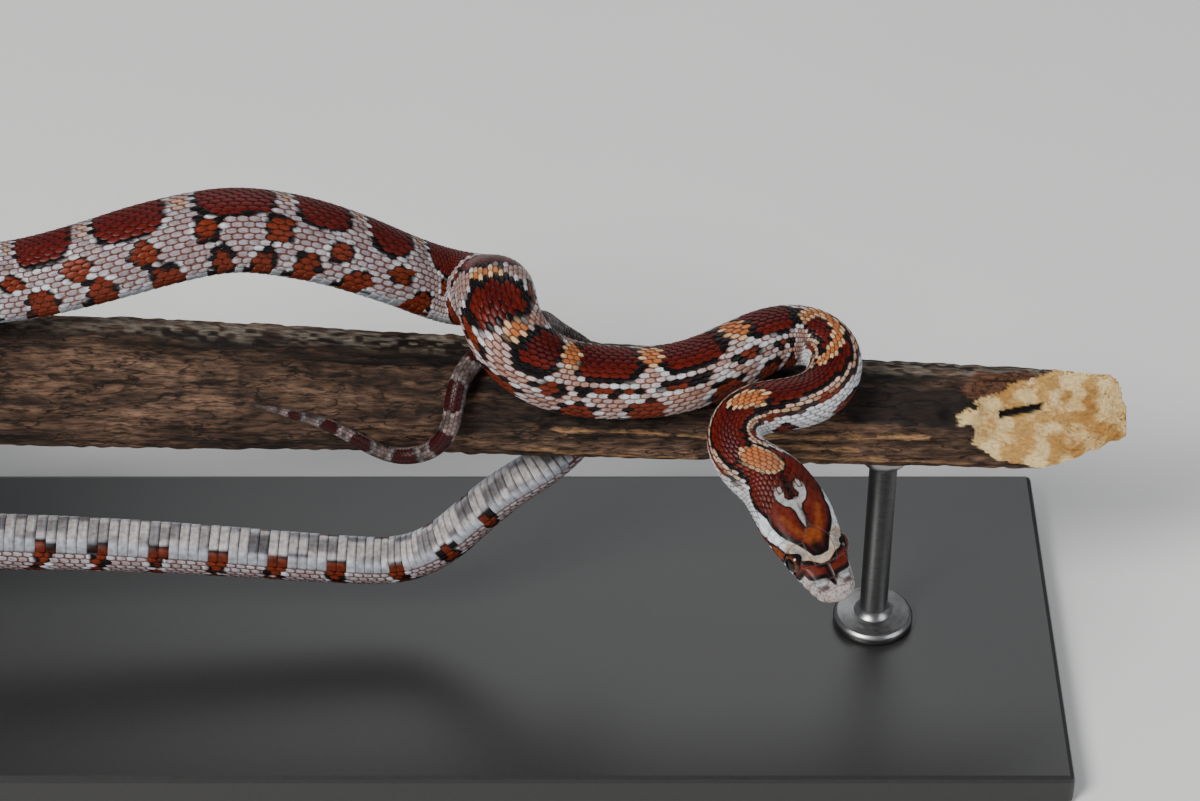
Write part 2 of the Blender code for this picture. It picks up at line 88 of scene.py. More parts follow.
# Way of the body, as in the part's source. Each row: mm along the branch, degrees round it
# (0 on top, 90 towards the viewer), mm from its axis, degrees that the back faces, its lean.
HEAD_AND_LOOPS = [
    (48.4, 87.3, 62.5, 17, 4),
    (41.6, 81.3, 49.8, 17, 4),
    (35.1, 72.8, 38.3, 19, 5),
    (30.2, 70.4, 34.8, 30, 0),
    (27.8, 66.6, 32.5, 36, -10),
    (27.2, 60.8, 30.0, 34, -18),
    (28.8, 54.7, 28.1, 29, -12),
    (32.0, 50.7, 27.0, 26, -4),
    (40.0, 48.0, 25.2, 28, -4),
    (46.2, 42.0, 22.8, 24, 4),
    (49.2, 30.0, 20.9, 22, 9),
    (49.6, 14.8, 20.0, 18, 12),
    (47.2, 1.8, 19.6, 16, 8),
    (42.0, -4.2, 19.6, 14, 2),
    (36.0, 1.8, 19.5, 14, 0),
    (28.4, 17.2, 19.8, 14, 0),
    (19.3, 32.0, 20.4, 14, 0),
    (10.4, 38.0, 20.8, 14, 0),
    (1.0, 39.5, 21.6, 14, 0),
    (-8.1, 37.8, 23.2, 16, -6),
    (-15.4, 31.2, 26.4, 16, -12),
    (-20.0, 20.4, 28.9, 12, -12),
    (-21.6, 6.0, 28.9, 6, -8),
    (-22.3, -8.0, 26.1, 0, 0),
    (-23.4, -21.0, 23.6, -6, 2),
    (-26.0, -33.5, 22.6, -10, 0),
    (-31.2, -41.0, 23.0, -10, 0),
    (-37.8, -39.0, 24.6, -8, 0),
    (-45.0, -30.5, 27.4, -4, 0),
    (-54.0, -23.0, 31.3, -2, 0),
    (-64.0, -17.0, 34.8, -2, 0),
    (-77.0, -11.5, 37.3, -2, 0),
    (-92.0, -7.5, 34.8, 0, 0),
    (-106.0, -4.0, 30.6, 0, 0),
    (-120.0, -1.0, 26.8, 0, 0),
    (-135.0, 6.0, 25.9, 4, 0),
]
WRAP_FROM = (-149.0, 24.0)
WRAP_TO = (-210.0, 448.0)
WRAP_POINTS = 10
WRAP_CLEARANCE = 8.8
SWAG_AND_TAIL = [
    (-206.0, 490, 31.0, 480, 0),
    (-189.0, 520, 40.0, 505, 0),
    (-168.0, 533, 45.5, 525, 0),
    (-142.0, 537, 46.0, 535, 0),
    (-115.0, 539, 46.8, 540, 0),
    (-90.0, 540, 48.0, 544, 0),
    (-68.0, 540, 49.0, 548, 0),
    (-56.4, 540, 49.4, 550, 0),
    (-47.4, 540, 49.3, 552, 0),
    (-40.6, 540, 47.2, 554, 0),
    (-34.5, 540, 42.5, 556, 0),
    (-29.2, 540, 36.4, 558, 0),
    (-24.0, 540, 30.2, 560, 0),
    (-18.6, 540, 24.8, 562, 0),
    (-13.0, 543, 21.0, 566, 0),
    (-7.5, 556, 19.5, 576, 0),
    (-2.5, 575, 19.0, 590, 0),
    (0.2, 594, 18.6, 604, 0),
    (-0.8, 611, 17.9, 616, 0),
    (-3.4, 625, 17.4, 626, 0),
    (-6.8, 636, 17.0, 635, 0),
    (-10.0, 648, 16.8, 650, 0),
    (-12.0, 664, 16.6, 668, 0),
    (-12.9, 684, 16.6, 688, 0),
    (-14.4, 702, 16.5, 706, 0),
    (-17.9, 719, 16.5, 722, 0),
    (-22.7, 732, 16.5, 733, 0),
    (-26.8, 743, 16.5, 743, 0),
    (-29.5, 757, 16.4, 757, 0),
    (-30.5, 774, 16.4, 772, 0),
    (-31.0, 790, 16.3, 786, 0),
    (-32.4, 805, 16.2, 798, 0),
    (-35.2, 817, 16.1, 805, 0),
    (-38.8, 826, 16.0, 811, 0),
    (-43.0, 829, 16.0, 814, 0),
    (-47.8, 820, 15.9, 810, 0),
    (-52.8, 806, 15.9, 800, 0),
    (-58.0, 796, 15.7, 793, 0),
    (-63.8, 791, 15.5, 789, 0),
    (-74.2, 783, 15.2, 785, 0),
]
SOFTEN = 3.0
GIRTH = [
    (30, 7.1), (34, 6.5), (39, 5.9), (48, 5.5), (63, 5.5), (79, 5.9), (95, 7.0), (120, 7.6),
    (150, 8.1), (165, 8.5), (205, 8.6), (228, 9.4), (262, 9.5), (290, 8.8), (340, 9.3), (398, 9.4),
    (496, 8.6),
    (584, 7.1), (655, 5.9), (708, 5.3), (735, 4.9), (761, 4.2), (792, 3.1), (820, 2.35),
    (850, 1.9), (868, 1.4), (882, 0.8), (887, 0.3),
]
BACK_HEIGHT = 0.92
BELLY_DEPTH = 0.82
BELLY_SQUARE = 2.6
JAW_SQUARE = 2.3
HEAD_END = 30.5
HEAD_SHAPE = [
    (0.00, 1.85, 0.80, 1.05, 2.2),
    (0.35, 2.80, 1.30, 1.60, 2.3),
    (1.00, 3.55, 1.80, 2.15, 2.4),
    (2.20, 4.25, 2.30, 2.70, 2.5),
    (4.50, 5.00, 2.95, 3.15, 2.5),
    (7.50, 5.75, 3.60, 3.45, 2.6),
    (10.6, 6.35, 4.25, 3.75, 2.7),
    (14.0, 6.95, 4.75, 4.05, 2.6),
    (18.0, 7.65, 5.10, 4.45, 2.4),
    (21.5, 7.90, 5.35, 4.80, 2.3),
    (25.5, 7.60, 5.85, 5.15, 2.1),
    (30.5, 7.05, 6.49, 5.78, 2.0),
]
BROW = (10.4, 50.0, 0.42)
CHEEK = (6.2, 74.0, -0.30)
MOUTH_LINE = [(0.0, -0.85), (2.0, -1.45), (6.0, -1.75), (12.0, -1.85), (17.0, -1.45), (21.2, -0.55)]
MOUTH_BACK = 21.2

# Eye, in the head's own axes: mm out, back and up
EYE = (4.62, 10.6, 1.25)
EYE_RADIUS = 2.50
EYE_TURN = 79.0
EYE_OPENING = 2.02
NOSTRIL = (2.4, 63.0, 0.42)       # mm back, degrees from the crown, radius

# Markings. The pattern's middle wanders a little from the middle of the back: mm, degrees
PATTERN_MIDDLE = [(0, -3), (30, -4), (46, -9), (56, -16), (65, -22), (72, -16), (80, 0), (88, 10),
                  (104, 18), (121, 12), (140, 7), (160, 2), (200, 5), (290, 5), (340, 0), (800, 0),
                  (830, 24), (852, 22), (872, 0)]
NECK_BAND = [(20, 45), (25, 66), (28, 66), (31, 50), (34, 38), (38, 34), (46, 44), (55, 40), (65, 30),
             (75, 35), (82, 38), (88, 16)]
NECK_BAND_END = 88.5
# Saddles seen in the photograph: where each starts and ends, and degrees it reaches down the flank
SADDLES = [(89, 101.5, 38), (106, 121.5, 41), (125, 140.6, 43), (145.2, 153.2, 44), (156.8, 163.6, 50),
           (167.5, 180.8, 50), (184.3, 199.8, 50), (203.8, 214.3, 51), (218.1, 229.8, 42), (233.8, 247.8, 38),
           (253.3, 268.3, 43), (272.8, 286.3, 46)]
TAIL_SADDLES = [(764.2, 772, 80),(776, 784, 80), (789, 796, 80), (801, 808, 80), (812.5, 817.5, 78),
                (819.5, 823.5, 78), (828.3, 834.5, 76), (839, 844.8, 76), (848.6, 854.8, 74),
                (860, 865, 74), (868, 872, 72), (876, 879, 70)]
# Pale orange spots between the saddles: from mm, degrees to mm, degrees, and half width in mm
SPOTS = [(30.8, 3, 35.2, 8, 2.7), (49.0, -4, 51.6, 8, 2.2), (71.0, -24, 77.5, 2, 1.35),
         (77.5, 2, 84.5, 34, 1.4), (86.8, -6, 84.8, 34, 1.2), (102.6, 10, 102.2, -6, 2.7),
         (122.5, -5, 122.7, 9, 2.5), (142.2, -8, 142.2, 9, 2.5), (155.0, -9, 155.1, 9, 1.4),
         (165.6, -26, 165.1, 6, 1.2)]
# Flank blotches between the saddles: mm, half length, degrees down the flank, half height in degrees
FLANK_BLOTCHES = [(94, 2.8, 59, 9), (103, 2.8, 55, 10), (116.5, 4.8, 60, 8), (131, 5.4, 61, 7),
                  (144.5, 3.0, 64, 12), (158, 3.0, 66, 12), (175.8, 3.1, 62, 13), (190.8, 3.1, 66, 13),
                  (205.3, 3.0, 74, 14), (219.5, 3.0, 68, 16), (233, 2.8, 54, 22), (246.3, 2.7, 52, 17),
                  (259, 2.8, 66, 18), (273.1, 3.1, 62, 16), (287.8, 3.1, 60, 14)]
BELLY_BARS = [(60, 2.2, 92, 150), (72, 2.6, 88, 150), (91.5, 2.8, 92, 150), (99, 3.0, 82, 150),
              (109, 3.4, 82, 150), (124.5, 3.6, 78, 150), (137.5, 3.6, 84, 150), (151, 3.6, 84, 150),
              (167.3, 3.4, 84, 150), (182.8, 3.4, 84, 150), (197.8, 3.4, 87, 150), (213.6, 3.4, 87, 150),
              (225.9, 3.1, 81, 150), (235.4, 2.6, 85, 150), (244.0, 2.2, 76, 150), (255.9, 3.4, 87, 150),
              (269.4, 3.3, 80, 150), (281.8, 3.4, 77, 150)]

# Rows of scales round the back, from mm
ROW_COUNTS = [(12, 27), (37, 25), (52, 23), (108, 25), (160, 27), (500, 25),
              (560, 23), (620, 21), (680, 19), (753.5, 17), (775, 13), (800, 11), (826, 9), (850, 7),
              (868, 6)]
ROW_PACE = [(26, 0.78), (34, 0.90), (52, 1.05)]     # near the head the scales are shorter
BEND_PACE = 0.85                                    # how much more of them a bend takes
SLENDER_PACE = (0.62, 0.75)                         # mm from scale to scale: times half width to a power
STOUT_PACE = (1.23, 0.31)
BELLY_EDGE = [(0, 112), (40, 110), (748, 110), (758, 128), (884, 132)]
SCUTES_FROM = 22.5
VENT = 752.0
SCALES_END = 883.5

# Shields of the head, for one flank: mm back and degrees from the crown, the other is its mirror
SHIELDS = {
    "rostral": [(-2, -10), (1.9, -10), (1.9, 0), (1.6, 40), (1.2, 60), (0.9, 88), (-2, 96)],
    "internasal": [(1.9, 0), (1.6, 40), (2.4, 52), (4.0, 46), (3.8, 0)],
    "prefrontal": [(3.8, 0), (4.0, 46), (4.6, 60), (7.0, 58), (7.9, 48), (7.3, 20), (6.9, 0)],
    "frontal": [(6.9, -10), (6.9, 0), (7.3, 20), (9.8, 23), (12.4, 20), (15.6, 0), (15.6, -10)],
    "supraocular": [(7.3, 20), (7.9, 48), (8.6, 58), (10.6, 61), (12.6, 57), (13.0, 40), (12.4, 20),
                    (9.8, 23)],
    "parietal": [(15.6, 0), (12.4, 20), (13.0, 40), (13.9, 52), (18.3, 58), (21.5, 47), (23.6, 27),
                 (24.2, 6), (22.0, 0)],
    "nasal_front": [(1.6, 40), (2.4, 52), (2.6, 66), (2.5, 87), (0.9, 88), (1.2, 60)],
    "nasal_back": [(2.4, 52), (4.0, 46), (4.6, 60), (4.7, 86), (2.5, 87), (2.6, 66)],
    "loreal": [(4.6, 60), (7.0, 58), (6.8, 87), (4.7, 86)],
    "preocular": [(7.0, 58), (7.9, 48), (8.6, 58), (8.4, 78), (8.6, 98), (6.8, 87)],
    "postocular_upper": [(12.6, 57), (13.0, 40), (13.9, 52), (14.8, 57), (14.9, 76), (12.7, 78)],
    "postocular_lower": [(12.7, 78), (14.9, 76), (14.6, 97), (12.3, 98)],
    "temporal_front_upper": [(13.9, 52), (18.3, 58), (18.1, 78), (14.9, 76), (14.8, 57)],
    "temporal_front_lower": [(14.9, 76), (18.1, 78), (17.9, 97), (14.6, 97)],
    "temporal_back_upper": [(18.3, 58), (21.5, 47), (22.2, 62), (21.8, 78), (18.1, 78)],
    "temporal_back_lower": [(18.1, 78), (21.8, 78), (21.2, 97), (17.9, 97)],
    "mental": [(-2, 132), (0.9, 136), (2.2, 181), (-2, 181)],
    "chin_front": [(2.2, 180), (1.2, 148), (4.8, 146), (7.4, 162), (7.7, 180)],
    "chin_back": [(7.7, 180), (7.4, 162), (11.8, 160), (13.0, 172), (12.4, 180)],
}
UPPER_LABIALS = [0.9, 2.6, 4.5, 6.5, 8.6, 11.0, 13.6, 16.6, 20.4]
LOWER_LABIALS = [0.8, 2.4, 4.0, 5.8, 7.9, 10.3, 12.8, 15.2, 17.6, 20.2]
LABIAL_TOP = [(0.9, 88), (4.7, 86), (6.8, 87), (8.6, 98), (12.3, 98), (14.6, 97), (20.5, 97)]
LABIAL_DEPTH = 19.0
SHIELDS_END = 24.5

# Painted areas of the head, mm back and degrees from the pattern's middle
CROWN = [(9.1, -2), (9.4, 8), (11.4, 17), (12.9, 26), (14.4, 37), (16.2, 47), (18.4, 53), (20.6, 52),
         (22.0, 58), (24.6, 70), (28.5, 72), (28.5, -2)]
SNOUT_BAND = [(2.5, -2), (3.7, 4), (4.5, 10), (4.8, 28), (5.1, 45), (5.7, 57), (7.2, 62), (7.4, 92),
              (8.8, 101), (9.2, 62), (11.9, 60), (11.3, 52), (9.7, 45), (8.8, 36), (8.5, 26), (7.7, 16),
              (7.0, 8), (6.8, -2)]
EYE_STRIPE = [(12.5, 66), (12.2, 98), (15.0, 102), (21.6, 109), (24.0, 103), (20.0, 93), (16.6, 84),
              (14.4, 74)]
EYE_STRIPE_HEART = [(12.8, 76), (12.7, 95), (15.4, 98), (16.4, 90), (14.6, 78)]
CROWN_HEART = [(10.6, -2), (11.3, 9), (13.2, 14), (15.0, 4), (15.6, -2)]
CROWN_ARM = (14.2, 12.0, 19.0, 30.0, 0.62)
SPEAR = [(15.0, -1), (15.3, 0.7), (17.2, 3.2), (19.2, 4.0), (20.3, 7), (20.9, 14), (22.3, 21), (23.7, 25),
         (24.9, 24), (25.5, 18), (25.2, 10), (23.7, 8), (22.6, 10), (21.9, 6), (21.7, -1)]
SNOUT_OVAL = (3.55, 20.0, 3.85, 44.0, 0.72)
SNOUT_BLOTCH = (2.35, 22.0, 2.60, 40.0, 0.42)
LIP_DOTS = [2.6, 4.5, 6.5, 13.6, 16.6]              # mm back, on the upper lip

# Marks of the wood seen in the photograph: mm and degrees to mm and degrees, and half width in mm
BARE_STREAKS = [(-14, 82, 24, 85, 0.34), (24, 85, 70, 79, 0.38), (-16, 112, 20, 126, 0.7),
                (34, 96, 55, 100, 0.55), (40, 116, 80, 122, 0.8)]
PEELED = [(79, 22, 92, 18, 2.4), (82, 2, 100, -4, 2.6)]
SMOOTH_DARK = (56.0, 43.0, 75.0, 45.0, 4.3)
KNOT = (73.6, 51.0, 1.9)                            # mm along, degrees round, radius
WOOD_GRAIN = [(18, 10, 0.36), (45, 26, 0.28), (110, 56, 0.20), (280, 110, 0.16)]

# The slanting break: its bark edge, missing corner and rotten slot, mm along and mm up in the picture
BARK_EDGE = (79.8, 3.0, 0.35)                       # from mm, height there, rise for each mm
CORNER_EDGE = (94.6, -11.4, 0.33)
ROT_SLOT = (89.5, 0.6, 101.5, 2.2, 0.75)
PRONGS = [(77.8, -2.6), (79.8, 1.6)]


class SnakeSizes(bpy.types.PropertyGroup):
    coat_depth: FloatProperty(
        name="Coat depth", default=0.30 * MM, unit='LENGTH',
        description="How far the skin lies inside the outer faces of the scales")
    scale_pace: FloatProperty(
        name="Scale pace", default=1.0, description="Length from scale to scale in a row, over the usual one")
    scale_overlap: FloatProperty(
        name="Scale overlap", default=1.30,
        description="Length of a scale over its pace, so that its tip lies on the next")
    scale_breadth: FloatProperty(
        name="Scale breadth", default=1.30,
        description="Width of a scale over the distance between rows")
    skin_step: FloatProperty(
        name="Skin step", default=1.1 * MM, unit='LENGTH', description="Distance between rings of the skin")
    skin_sides: IntProperty(name="Skin sides", default=60, description="Faces round the skin")
    head_step: FloatProperty(
        name="Head step", default=0.135 * MM, unit='LENGTH',
        description="Distance between rings of the head's shields")
    head_sides: IntProperty(name="Head sides", default=320, description="Faces round the head's shields")
    wood_step: FloatProperty(
        name="Wood step", default=0.60 * MM, unit='LENGTH', description="Distance between rings of the branch")
    wood_sides: IntProperty(name="Wood sides", default=156, description="Faces round the branch")
    rod_sides: IntProperty(name="Rod sides", default=96, description="Faces round the turned rods")


def colour_property(name, description, value):
    return FloatVectorProperty(name=name, description=description, default=value, subtype='COLOR', size=3,
                               min=0.0, max=1.0)


class SnakeColours(bpy.types.PropertyGroup):
    saddle: colour_property("Saddle", "Mahogany red of the saddles", (0.064, 0.0018, 0.0008))
    saddle_light: colour_property("Saddle, light", "Warmer scales low on a saddle", (0.125, 0.0085, 0.0024))
    margin: colour_property("Margin", "Black edge of saddles and blotches", (0.0055, 0.0036, 0.0042))
    ground: colour_property("Ground", "Pinkish beige between the front saddles", (0.370, 0.250, 0.212))
    ground_cool: colour_property("Ground, cool", "Lilac grey farther back", (0.310, 0.320, 0.370))
    ground_line: colour_property("Ground line", "Brown skin between pale scales", (0.115, 0.038, 0.022))
    white: colour_property("White", "Bluish white beside the black edges", (0.600, 0.665, 0.720))
    spot: colour_property("Spot", "Orange spots on the back", (0.470, 0.138, 0.028))
    spot_edge: colour_property("Spot edge", "Cream rim of the spots", (0.680, 0.490, 0.260))
    bar: colour_property("Bar", "Rust of the flank blotches and belly bars", (0.150, 0.022, 0.0068))
    belly: colour_property("Belly", "Ground of the belly", (0.460, 0.455, 0.470))
    checker: colour_property("Checker", "Blue-black checks of the belly", (0.050, 0.053, 0.070))
    tail_dark: colour_property("Tail, dark", "Maroon blotches of the tail", (0.034, 0.0045, 0.0048))
    tail_pale: colour_property("Tail, pale", "Ground of the tail", (0.130, 0.098, 0.092))
    crown: colour_property("Crown", "Red of the head", (0.090, 0.0110, 0.0058))
    crown_heart: colour_property("Crown, heart", "Orange brown within the crown's red", (0.200, 0.046, 0.0105))
    spear: colour_property("Spear", "Pale mark on the crown", (0.320, 0.325, 0.330))
    snout: colour_property("Snout", "Grey of the snout and lips", (0.350, 0.320, 0.315))
    band: colour_property("Band", "Cream grey band before the eyes", (0.370, 0.315, 0.255))
    iris: colour_property("Iris", "Orange brown of the eye", (0.085, 0.024, 0.0075))
    wood: colour_property("Wood", "Weathered wood of the branch", (0.070, 0.043, 0.029))
    wood_dark: colour_property("Wood, dark", "Dark streaks and cracks", (0.0085, 0.0060, 0.0052))
    wood_grey: colour_property("Wood, grey", "Weathered bark on the top edge", (0.150, 0.130, 0.105))
    wood_tan: colour_property("Wood, tan", "Bare grain where the bark is worn off", (0.260, 0.150, 0.075))
    wood_red: colour_property("Wood, red", "Red-brown inner bark where it has peeled", (0.105, 0.048, 0.027))
    wood_pale: colour_property("Wood, pale", "Broken face of the branch", (0.580, 0.330, 0.105))
    wood_cream: colour_property("Wood, cream", "Pale splintered parts of the break", (0.900, 0.680, 0.340))
    floor: colour_property("Floor", "Plain pale floor", (0.760, 0.755, 0.745))


class SnakeView(bpy.types.PropertyGroup):
    elevation: FloatProperty(
        name="Elevation", default=math.radians(40.0), subtype='ANGLE',
        description="How far above the level the camera looks from")
    distance: FloatProperty(
        name="Distance", default=0.717, unit='LENGTH',
        description="From the camera to the middle of the photograph's frame")
    lens: FloatProperty(name="Lens", default=100.0, description="Focal length in mm on a 36 mm frame")
    key_power: FloatProperty(name="Key light", default=20.0, unit='POWER', description="Large soft light")
    fill_power: FloatProperty(name="Fill light", default=3.0, unit='POWER', description="Soft light from the right")
    rim_power: FloatProperty(name="Rim light", default=3.0, unit='POWER', description="Soft light from behind")
    sky: FloatProperty(name="Room light", default=0.22, description="Even light from all round")


def unit(vectors):
    return vectors / np.maximum(np.linalg.norm(vectors, axis=-1, keepdims=True), 1e-12)


def branch_radius(along):
    return BRANCH_RADIUS - BRANCH_TAPER * along


def branch_axis(along):
    return np.array(BRANCH_ZERO) + np.array([along, 0.0, -BRANCH_SLOPE * along])


def branch_point(along, degrees, out):
    turn = math.radians(degrees)
    return branch_axis(along) + out * np.array([0.0, -math.sin(turn), math.cos(turn)])


def back_vector(degrees, lean):
    turn, side = math.radians(degrees), math.radians(lean)
    return np.array([math.sin(side), -math.sin(turn) * math.cos(side), math.cos(turn) * math.cos(side)])


def wrap_rows():
    rows = []
    for k in range(WRAP_POINTS):
        share = k / (WRAP_POINTS - 1)
        along = WRAP_FROM[0] + (WRAP_TO[0] - WRAP_FROM[0]) * share
        degrees = WRAP_FROM[1] + (WRAP_TO[1] - WRAP_FROM[1]) * share
        rows.append((along, degrees, branch_radius(along * MM) / MM + WRAP_CLEARANCE, degrees, 0.0))
    return rows


def through_points(rows, pieces=24):
    """Smooth curve through the rows: Catmull-Rom, with its pace set by the root of each span."""
    rows = np.vstack([2 * rows[0] - rows[1], rows, 2 * rows[-1] - rows[-2]])
    share = (np.arange(pieces) / pieces)[:, None]
    curve = []
    for p0, p1, p2, p3 in zip(rows, rows[1:], rows[2:], rows[3:]):
        d0, d1, d2 = (np.linalg.norm(b[:3] - a[:3]) ** 0.5 for a, b in ((p0, p1), (p1, p2), (p2, p3)))
        out = d1 * ((p1 - p0) / d0 - (p2 - p0) / (d0 + d1) + (p2 - p1) / d1)
        into = d1 * ((p2 - p1) / d1 - (p3 - p1) / (d1 + d2) + (p3 - p2) / d2)
        u, u2, u3 = share, share ** 2, share ** 3
        curve.append((2 * u3 - 3 * u2 + 1) * p1 + (u3 - 2 * u2 + u) * out
                     + (3 * u2 - 2 * u3) * p2 + (u3 - u2) * into)
    return np.vstack(curve + [rows[-2:-1]])


def even_steps(curve, step):
    travelled = np.concatenate([[0.0], np.cumsum(np.linalg.norm(np.diff(curve[:, :3], axis=0), axis=1))])
    marks = np.arange(0.0, travelled[-1], step)
    return np.stack([np.interp(marks, travelled, column) for column in curve.T], axis=1)


def softened(values, width):
    reach = int(3 * width)
    weights = np.exp(-0.5 * (np.arange(-reach, reach + 1) / width) ** 2)
    weights /= weights.sum()
    ends = (2 * values[0] - values[reach:0:-1], 2 * values[-1] - values[-2:-reach - 2:-1])
    padded = np.concatenate([ends[0], values, ends[1]])
    return np.stack([np.convolve(column, weights, "valid") for column in padded.T], axis=1)


def table(rows, at, column=1):
    """Straight steps through a small table."""
    return np.interp(at, [row[0] for row in rows], [row[column] for row in rows])


def eased(rows, at, column):
    """Cubic through a small table, with the slopes that the part's source uses."""
    places = np.array([row[0] for row in rows])
    values = np.array([row[column] for row in rows])
    k = np.clip(np.searchsorted(places, at) - 1, 0, len(places) - 2)
    slopes = np.gradient(values, places)
    span = places[k + 1] - places[k]
    u = (at - places[k]) / span
    return ((2 * u ** 3 - 3 * u ** 2 + 1) * values[k] + (u ** 3 - 2 * u ** 2 + u) * span * slopes[k]
            + (3 * u ** 2 - 2 * u ** 3) * values[k + 1] + (u ** 3 - u ** 2) * span * slopes[k + 1])


def signed_power(value, power):
    return np.sign(value) * np.abs(value) ** power


def swell(place, at, turn, reach=3.0, spread=16.0):
    back, degrees, proud = place
    apart = np.abs(np.degrees(turn)) - degrees
    return proud * np.exp(-((at - back) / reach) ** 2 - (apart / spread) ** 2)


class Snake:
    """Middle line and outer surface of the snake; places in mm, turns in degrees, points in metres."""

    def __init__(self):
        rows = HEAD_AND_LOOPS + wrap_rows() + SWAG_AND_TAIL
        points = [np.concatenate([branch_point(a * MM, d, o * MM), back_vector(b, lean)])
                  for a, d, o, b, lean in rows]
        curve = softened(even_steps(through_points(np.array(points)), MM), SOFTEN)
        curve = even_steps(curve, MM)
        self.centres = curve[:, :3]
        self.along = np.arange(len(curve), dtype=float)
        self.total = self.along[-1]
        self.forward = unit(np.gradient(self.centres, axis=0))
        back = curve[:, 3:]
        self.back = unit(back - (back * self.forward).sum(axis=1, keepdims=True) * self.forward)
        self.widths = softened(table(GIRTH, self.along)[:, None], SOFTEN)[:, 0]

    def half(self, at):
        """Half width in mm, of the head or the body."""
        body = np.interp(at, self.along, self.widths)
        head = eased(HEAD_SHAPE, np.clip(at, 0, HEAD_END), 1)
        share = np.clip((at - 28.5) / 3.0, 0, 1)
        return head * (1 - share) + body * share

    def frames(self, at):
        def read(values):
            return np.stack([np.interp(at, self.along, column) for column in values.T], axis=-1)
        forward = unit(read(self.forward))
        back = read(self.back)
        back = unit(back - (back * forward).sum(axis=-1, keepdims=True) * forward)
        return read(self.centres), forward, back, np.cross(forward, back)

    def section(self, at, degrees):
        """Across and up from the middle line, in mm."""
        turn = np.radians(degrees)
        across, up = np.sin(turn), np.cos(turn)
        half = np.interp(at, self.along, self.widths)
        top = up >= 0
        body_x = half * np.where(top, across, signed_power(across, 2 / BELLY_SQUARE))
        body_z = half * np.where(top, BACK_HEIGHT * up, BELLY_DEPTH * signed_power(up, 2 / BELLY_SQUARE))
        near = np.clip(at, 0, HEAD_END)
        wide, crown, jaw, square = (eased(HEAD_SHAPE, near, column) for column in (1, 2, 3, 4))
        joint = np.clip((near - 22.0) / 8.5, 0, 1)
        power = 2.0 / np.where(top, square, JAW_SQUARE + (BELLY_SQUARE - JAW_SQUARE) * joint)
        head_x = wide * signed_power(across, power)
        head_z = np.where(top, crown, jaw) * signed_power(up, power)
        lift = swell(BROW, near, turn) + swell(CHEEK, near, turn, reach=2.4)
        grown = 1 + lift / np.maximum(np.hypot(head_x, head_z), 1e-6)
        share = np.clip((at - 28.5) / 3.0, 0, 1)
        return head_x * grown * (1 - share) + body_x * share, head_z * grown * (1 - share) + body_z * share

    def points(self, at, degrees, lift=0.0, shrink=1.0):
        """Points in metres over the surface by lift mm, with the section drawn in by shrink."""
        at, degrees = np.broadcast_arrays(np.asarray(at, float), np.asarray(degrees, float))
        centre, forward, back, side = self.frames(at)
        across, up = self.section(at, degrees)
        out = unit(across[..., None] * side + 1.15 * up[..., None] * back)
        flat = across[..., None] * side + up[..., None] * back
        lift, shrink = np.broadcast_to(lift, at.shape), np.broadcast_to(shrink, at.shape)
        ahead = np.minimum(at, 0.0)[..., None] * forward
        return centre + MM * (flat * shrink[..., None] + out * lift[..., None] + ahead)


SNAKE = Snake()


def head_matrix():
    """Own axes of the head: +X towards its left flank, +Y out of the snout, +Z out of the crown."""
    centre, forward, back, side = (values[0] for values in SNAKE.frames(np.array([EYE[1]])))
    snout = centre - forward * EYE[1] * MM
    matrix = Matrix.Identity(4)
    for row in range(3):
        matrix[row][0], matrix[row][1], matrix[row][2] = -side[row], -forward[row], back[row]
        matrix[row][3] = snout[row]
    return matrix


def smooth(low, high, value):
    share = np.clip((value - low) / (high - low), 0, 1)
    return share * share * (3 - 2 * share)


def polygon_distance(corners, x, y):
    """Distance to a closed outline, negative inside it."""
    nearest = np.full(np.shape(x), np.inf)
    inside = np.zeros(np.shape(x), bool)
    for (ax, ay), (bx, by) in zip(corners, corners[1:] + corners[:1]):
        dx, dy = bx - ax, by - ay
        share = np.clip(((x - ax) * dx + (y - ay) * dy) / (dx * dx + dy * dy + 1e-12), 0, 1)
        nearest = np.minimum(nearest, np.hypot(x - ax - share * dx, y - ay - share * dy))
        if abs(dy) > 1e-12:
            inside ^= ((ay > y) != (by > y)) & (x < ax + dx * (y - ay) / dy)
    return np.where(inside, -nearest, nearest)


def capsule_distance(capsule, x, y, round_radius):
    """Distance to a rounded bar; its ends are in mm and degrees, which round_radius turns into mm."""
    ax, a_turn, bx, b_turn, half = capsule
    ay, by = math.radians(a_turn) * round_radius, math.radians(b_turn) * round_radius
    dx, dy = bx - ax, by - ay
    share = np.clip(((x - ax) * dx + (y - ay) * dy) / (dx * dx + dy * dy + 1e-9), 0, 1)
    return np.hypot(x - ax - share * dx, y - ay - share * dy) - half


def spread_radius(at):
    """Radius in mm that turns degrees on the head into distances along its skin."""
    return 0.92 * SNAKE.half(at)


def on_plane(corners):
    """Outline in mm back and mm round the head, from mm back and degrees."""
    return [(x, math.radians(turn) * float(spread_radius(np.array(x)))) for x, turn in corners]


def mixed(base, colour, share):
    return base + (np.asarray(colour) - base) * np.asarray(share)[..., None]


def lattice(x, y, rows, columns, draw):
    """Smooth random heights from 0 to 1, on a grid that repeats after its rows and columns."""
    grid = draw.rand(rows, columns)
    i, j = np.floor(x).astype(int), np.floor(y).astype(int)
    u, v = x - i, y - j
    u, v = u * u * (3 - 2 * u), v * v * (3 - 2 * v)
    near = grid[i % rows, j % columns] * (1 - v) + grid[i % rows, (j + 1) % columns] * v
    far = grid[(i + 1) % rows, j % columns] * (1 - v) + grid[(i + 1) % rows, (j + 1) % columns] * v
    return near * (1 - u) + far * u


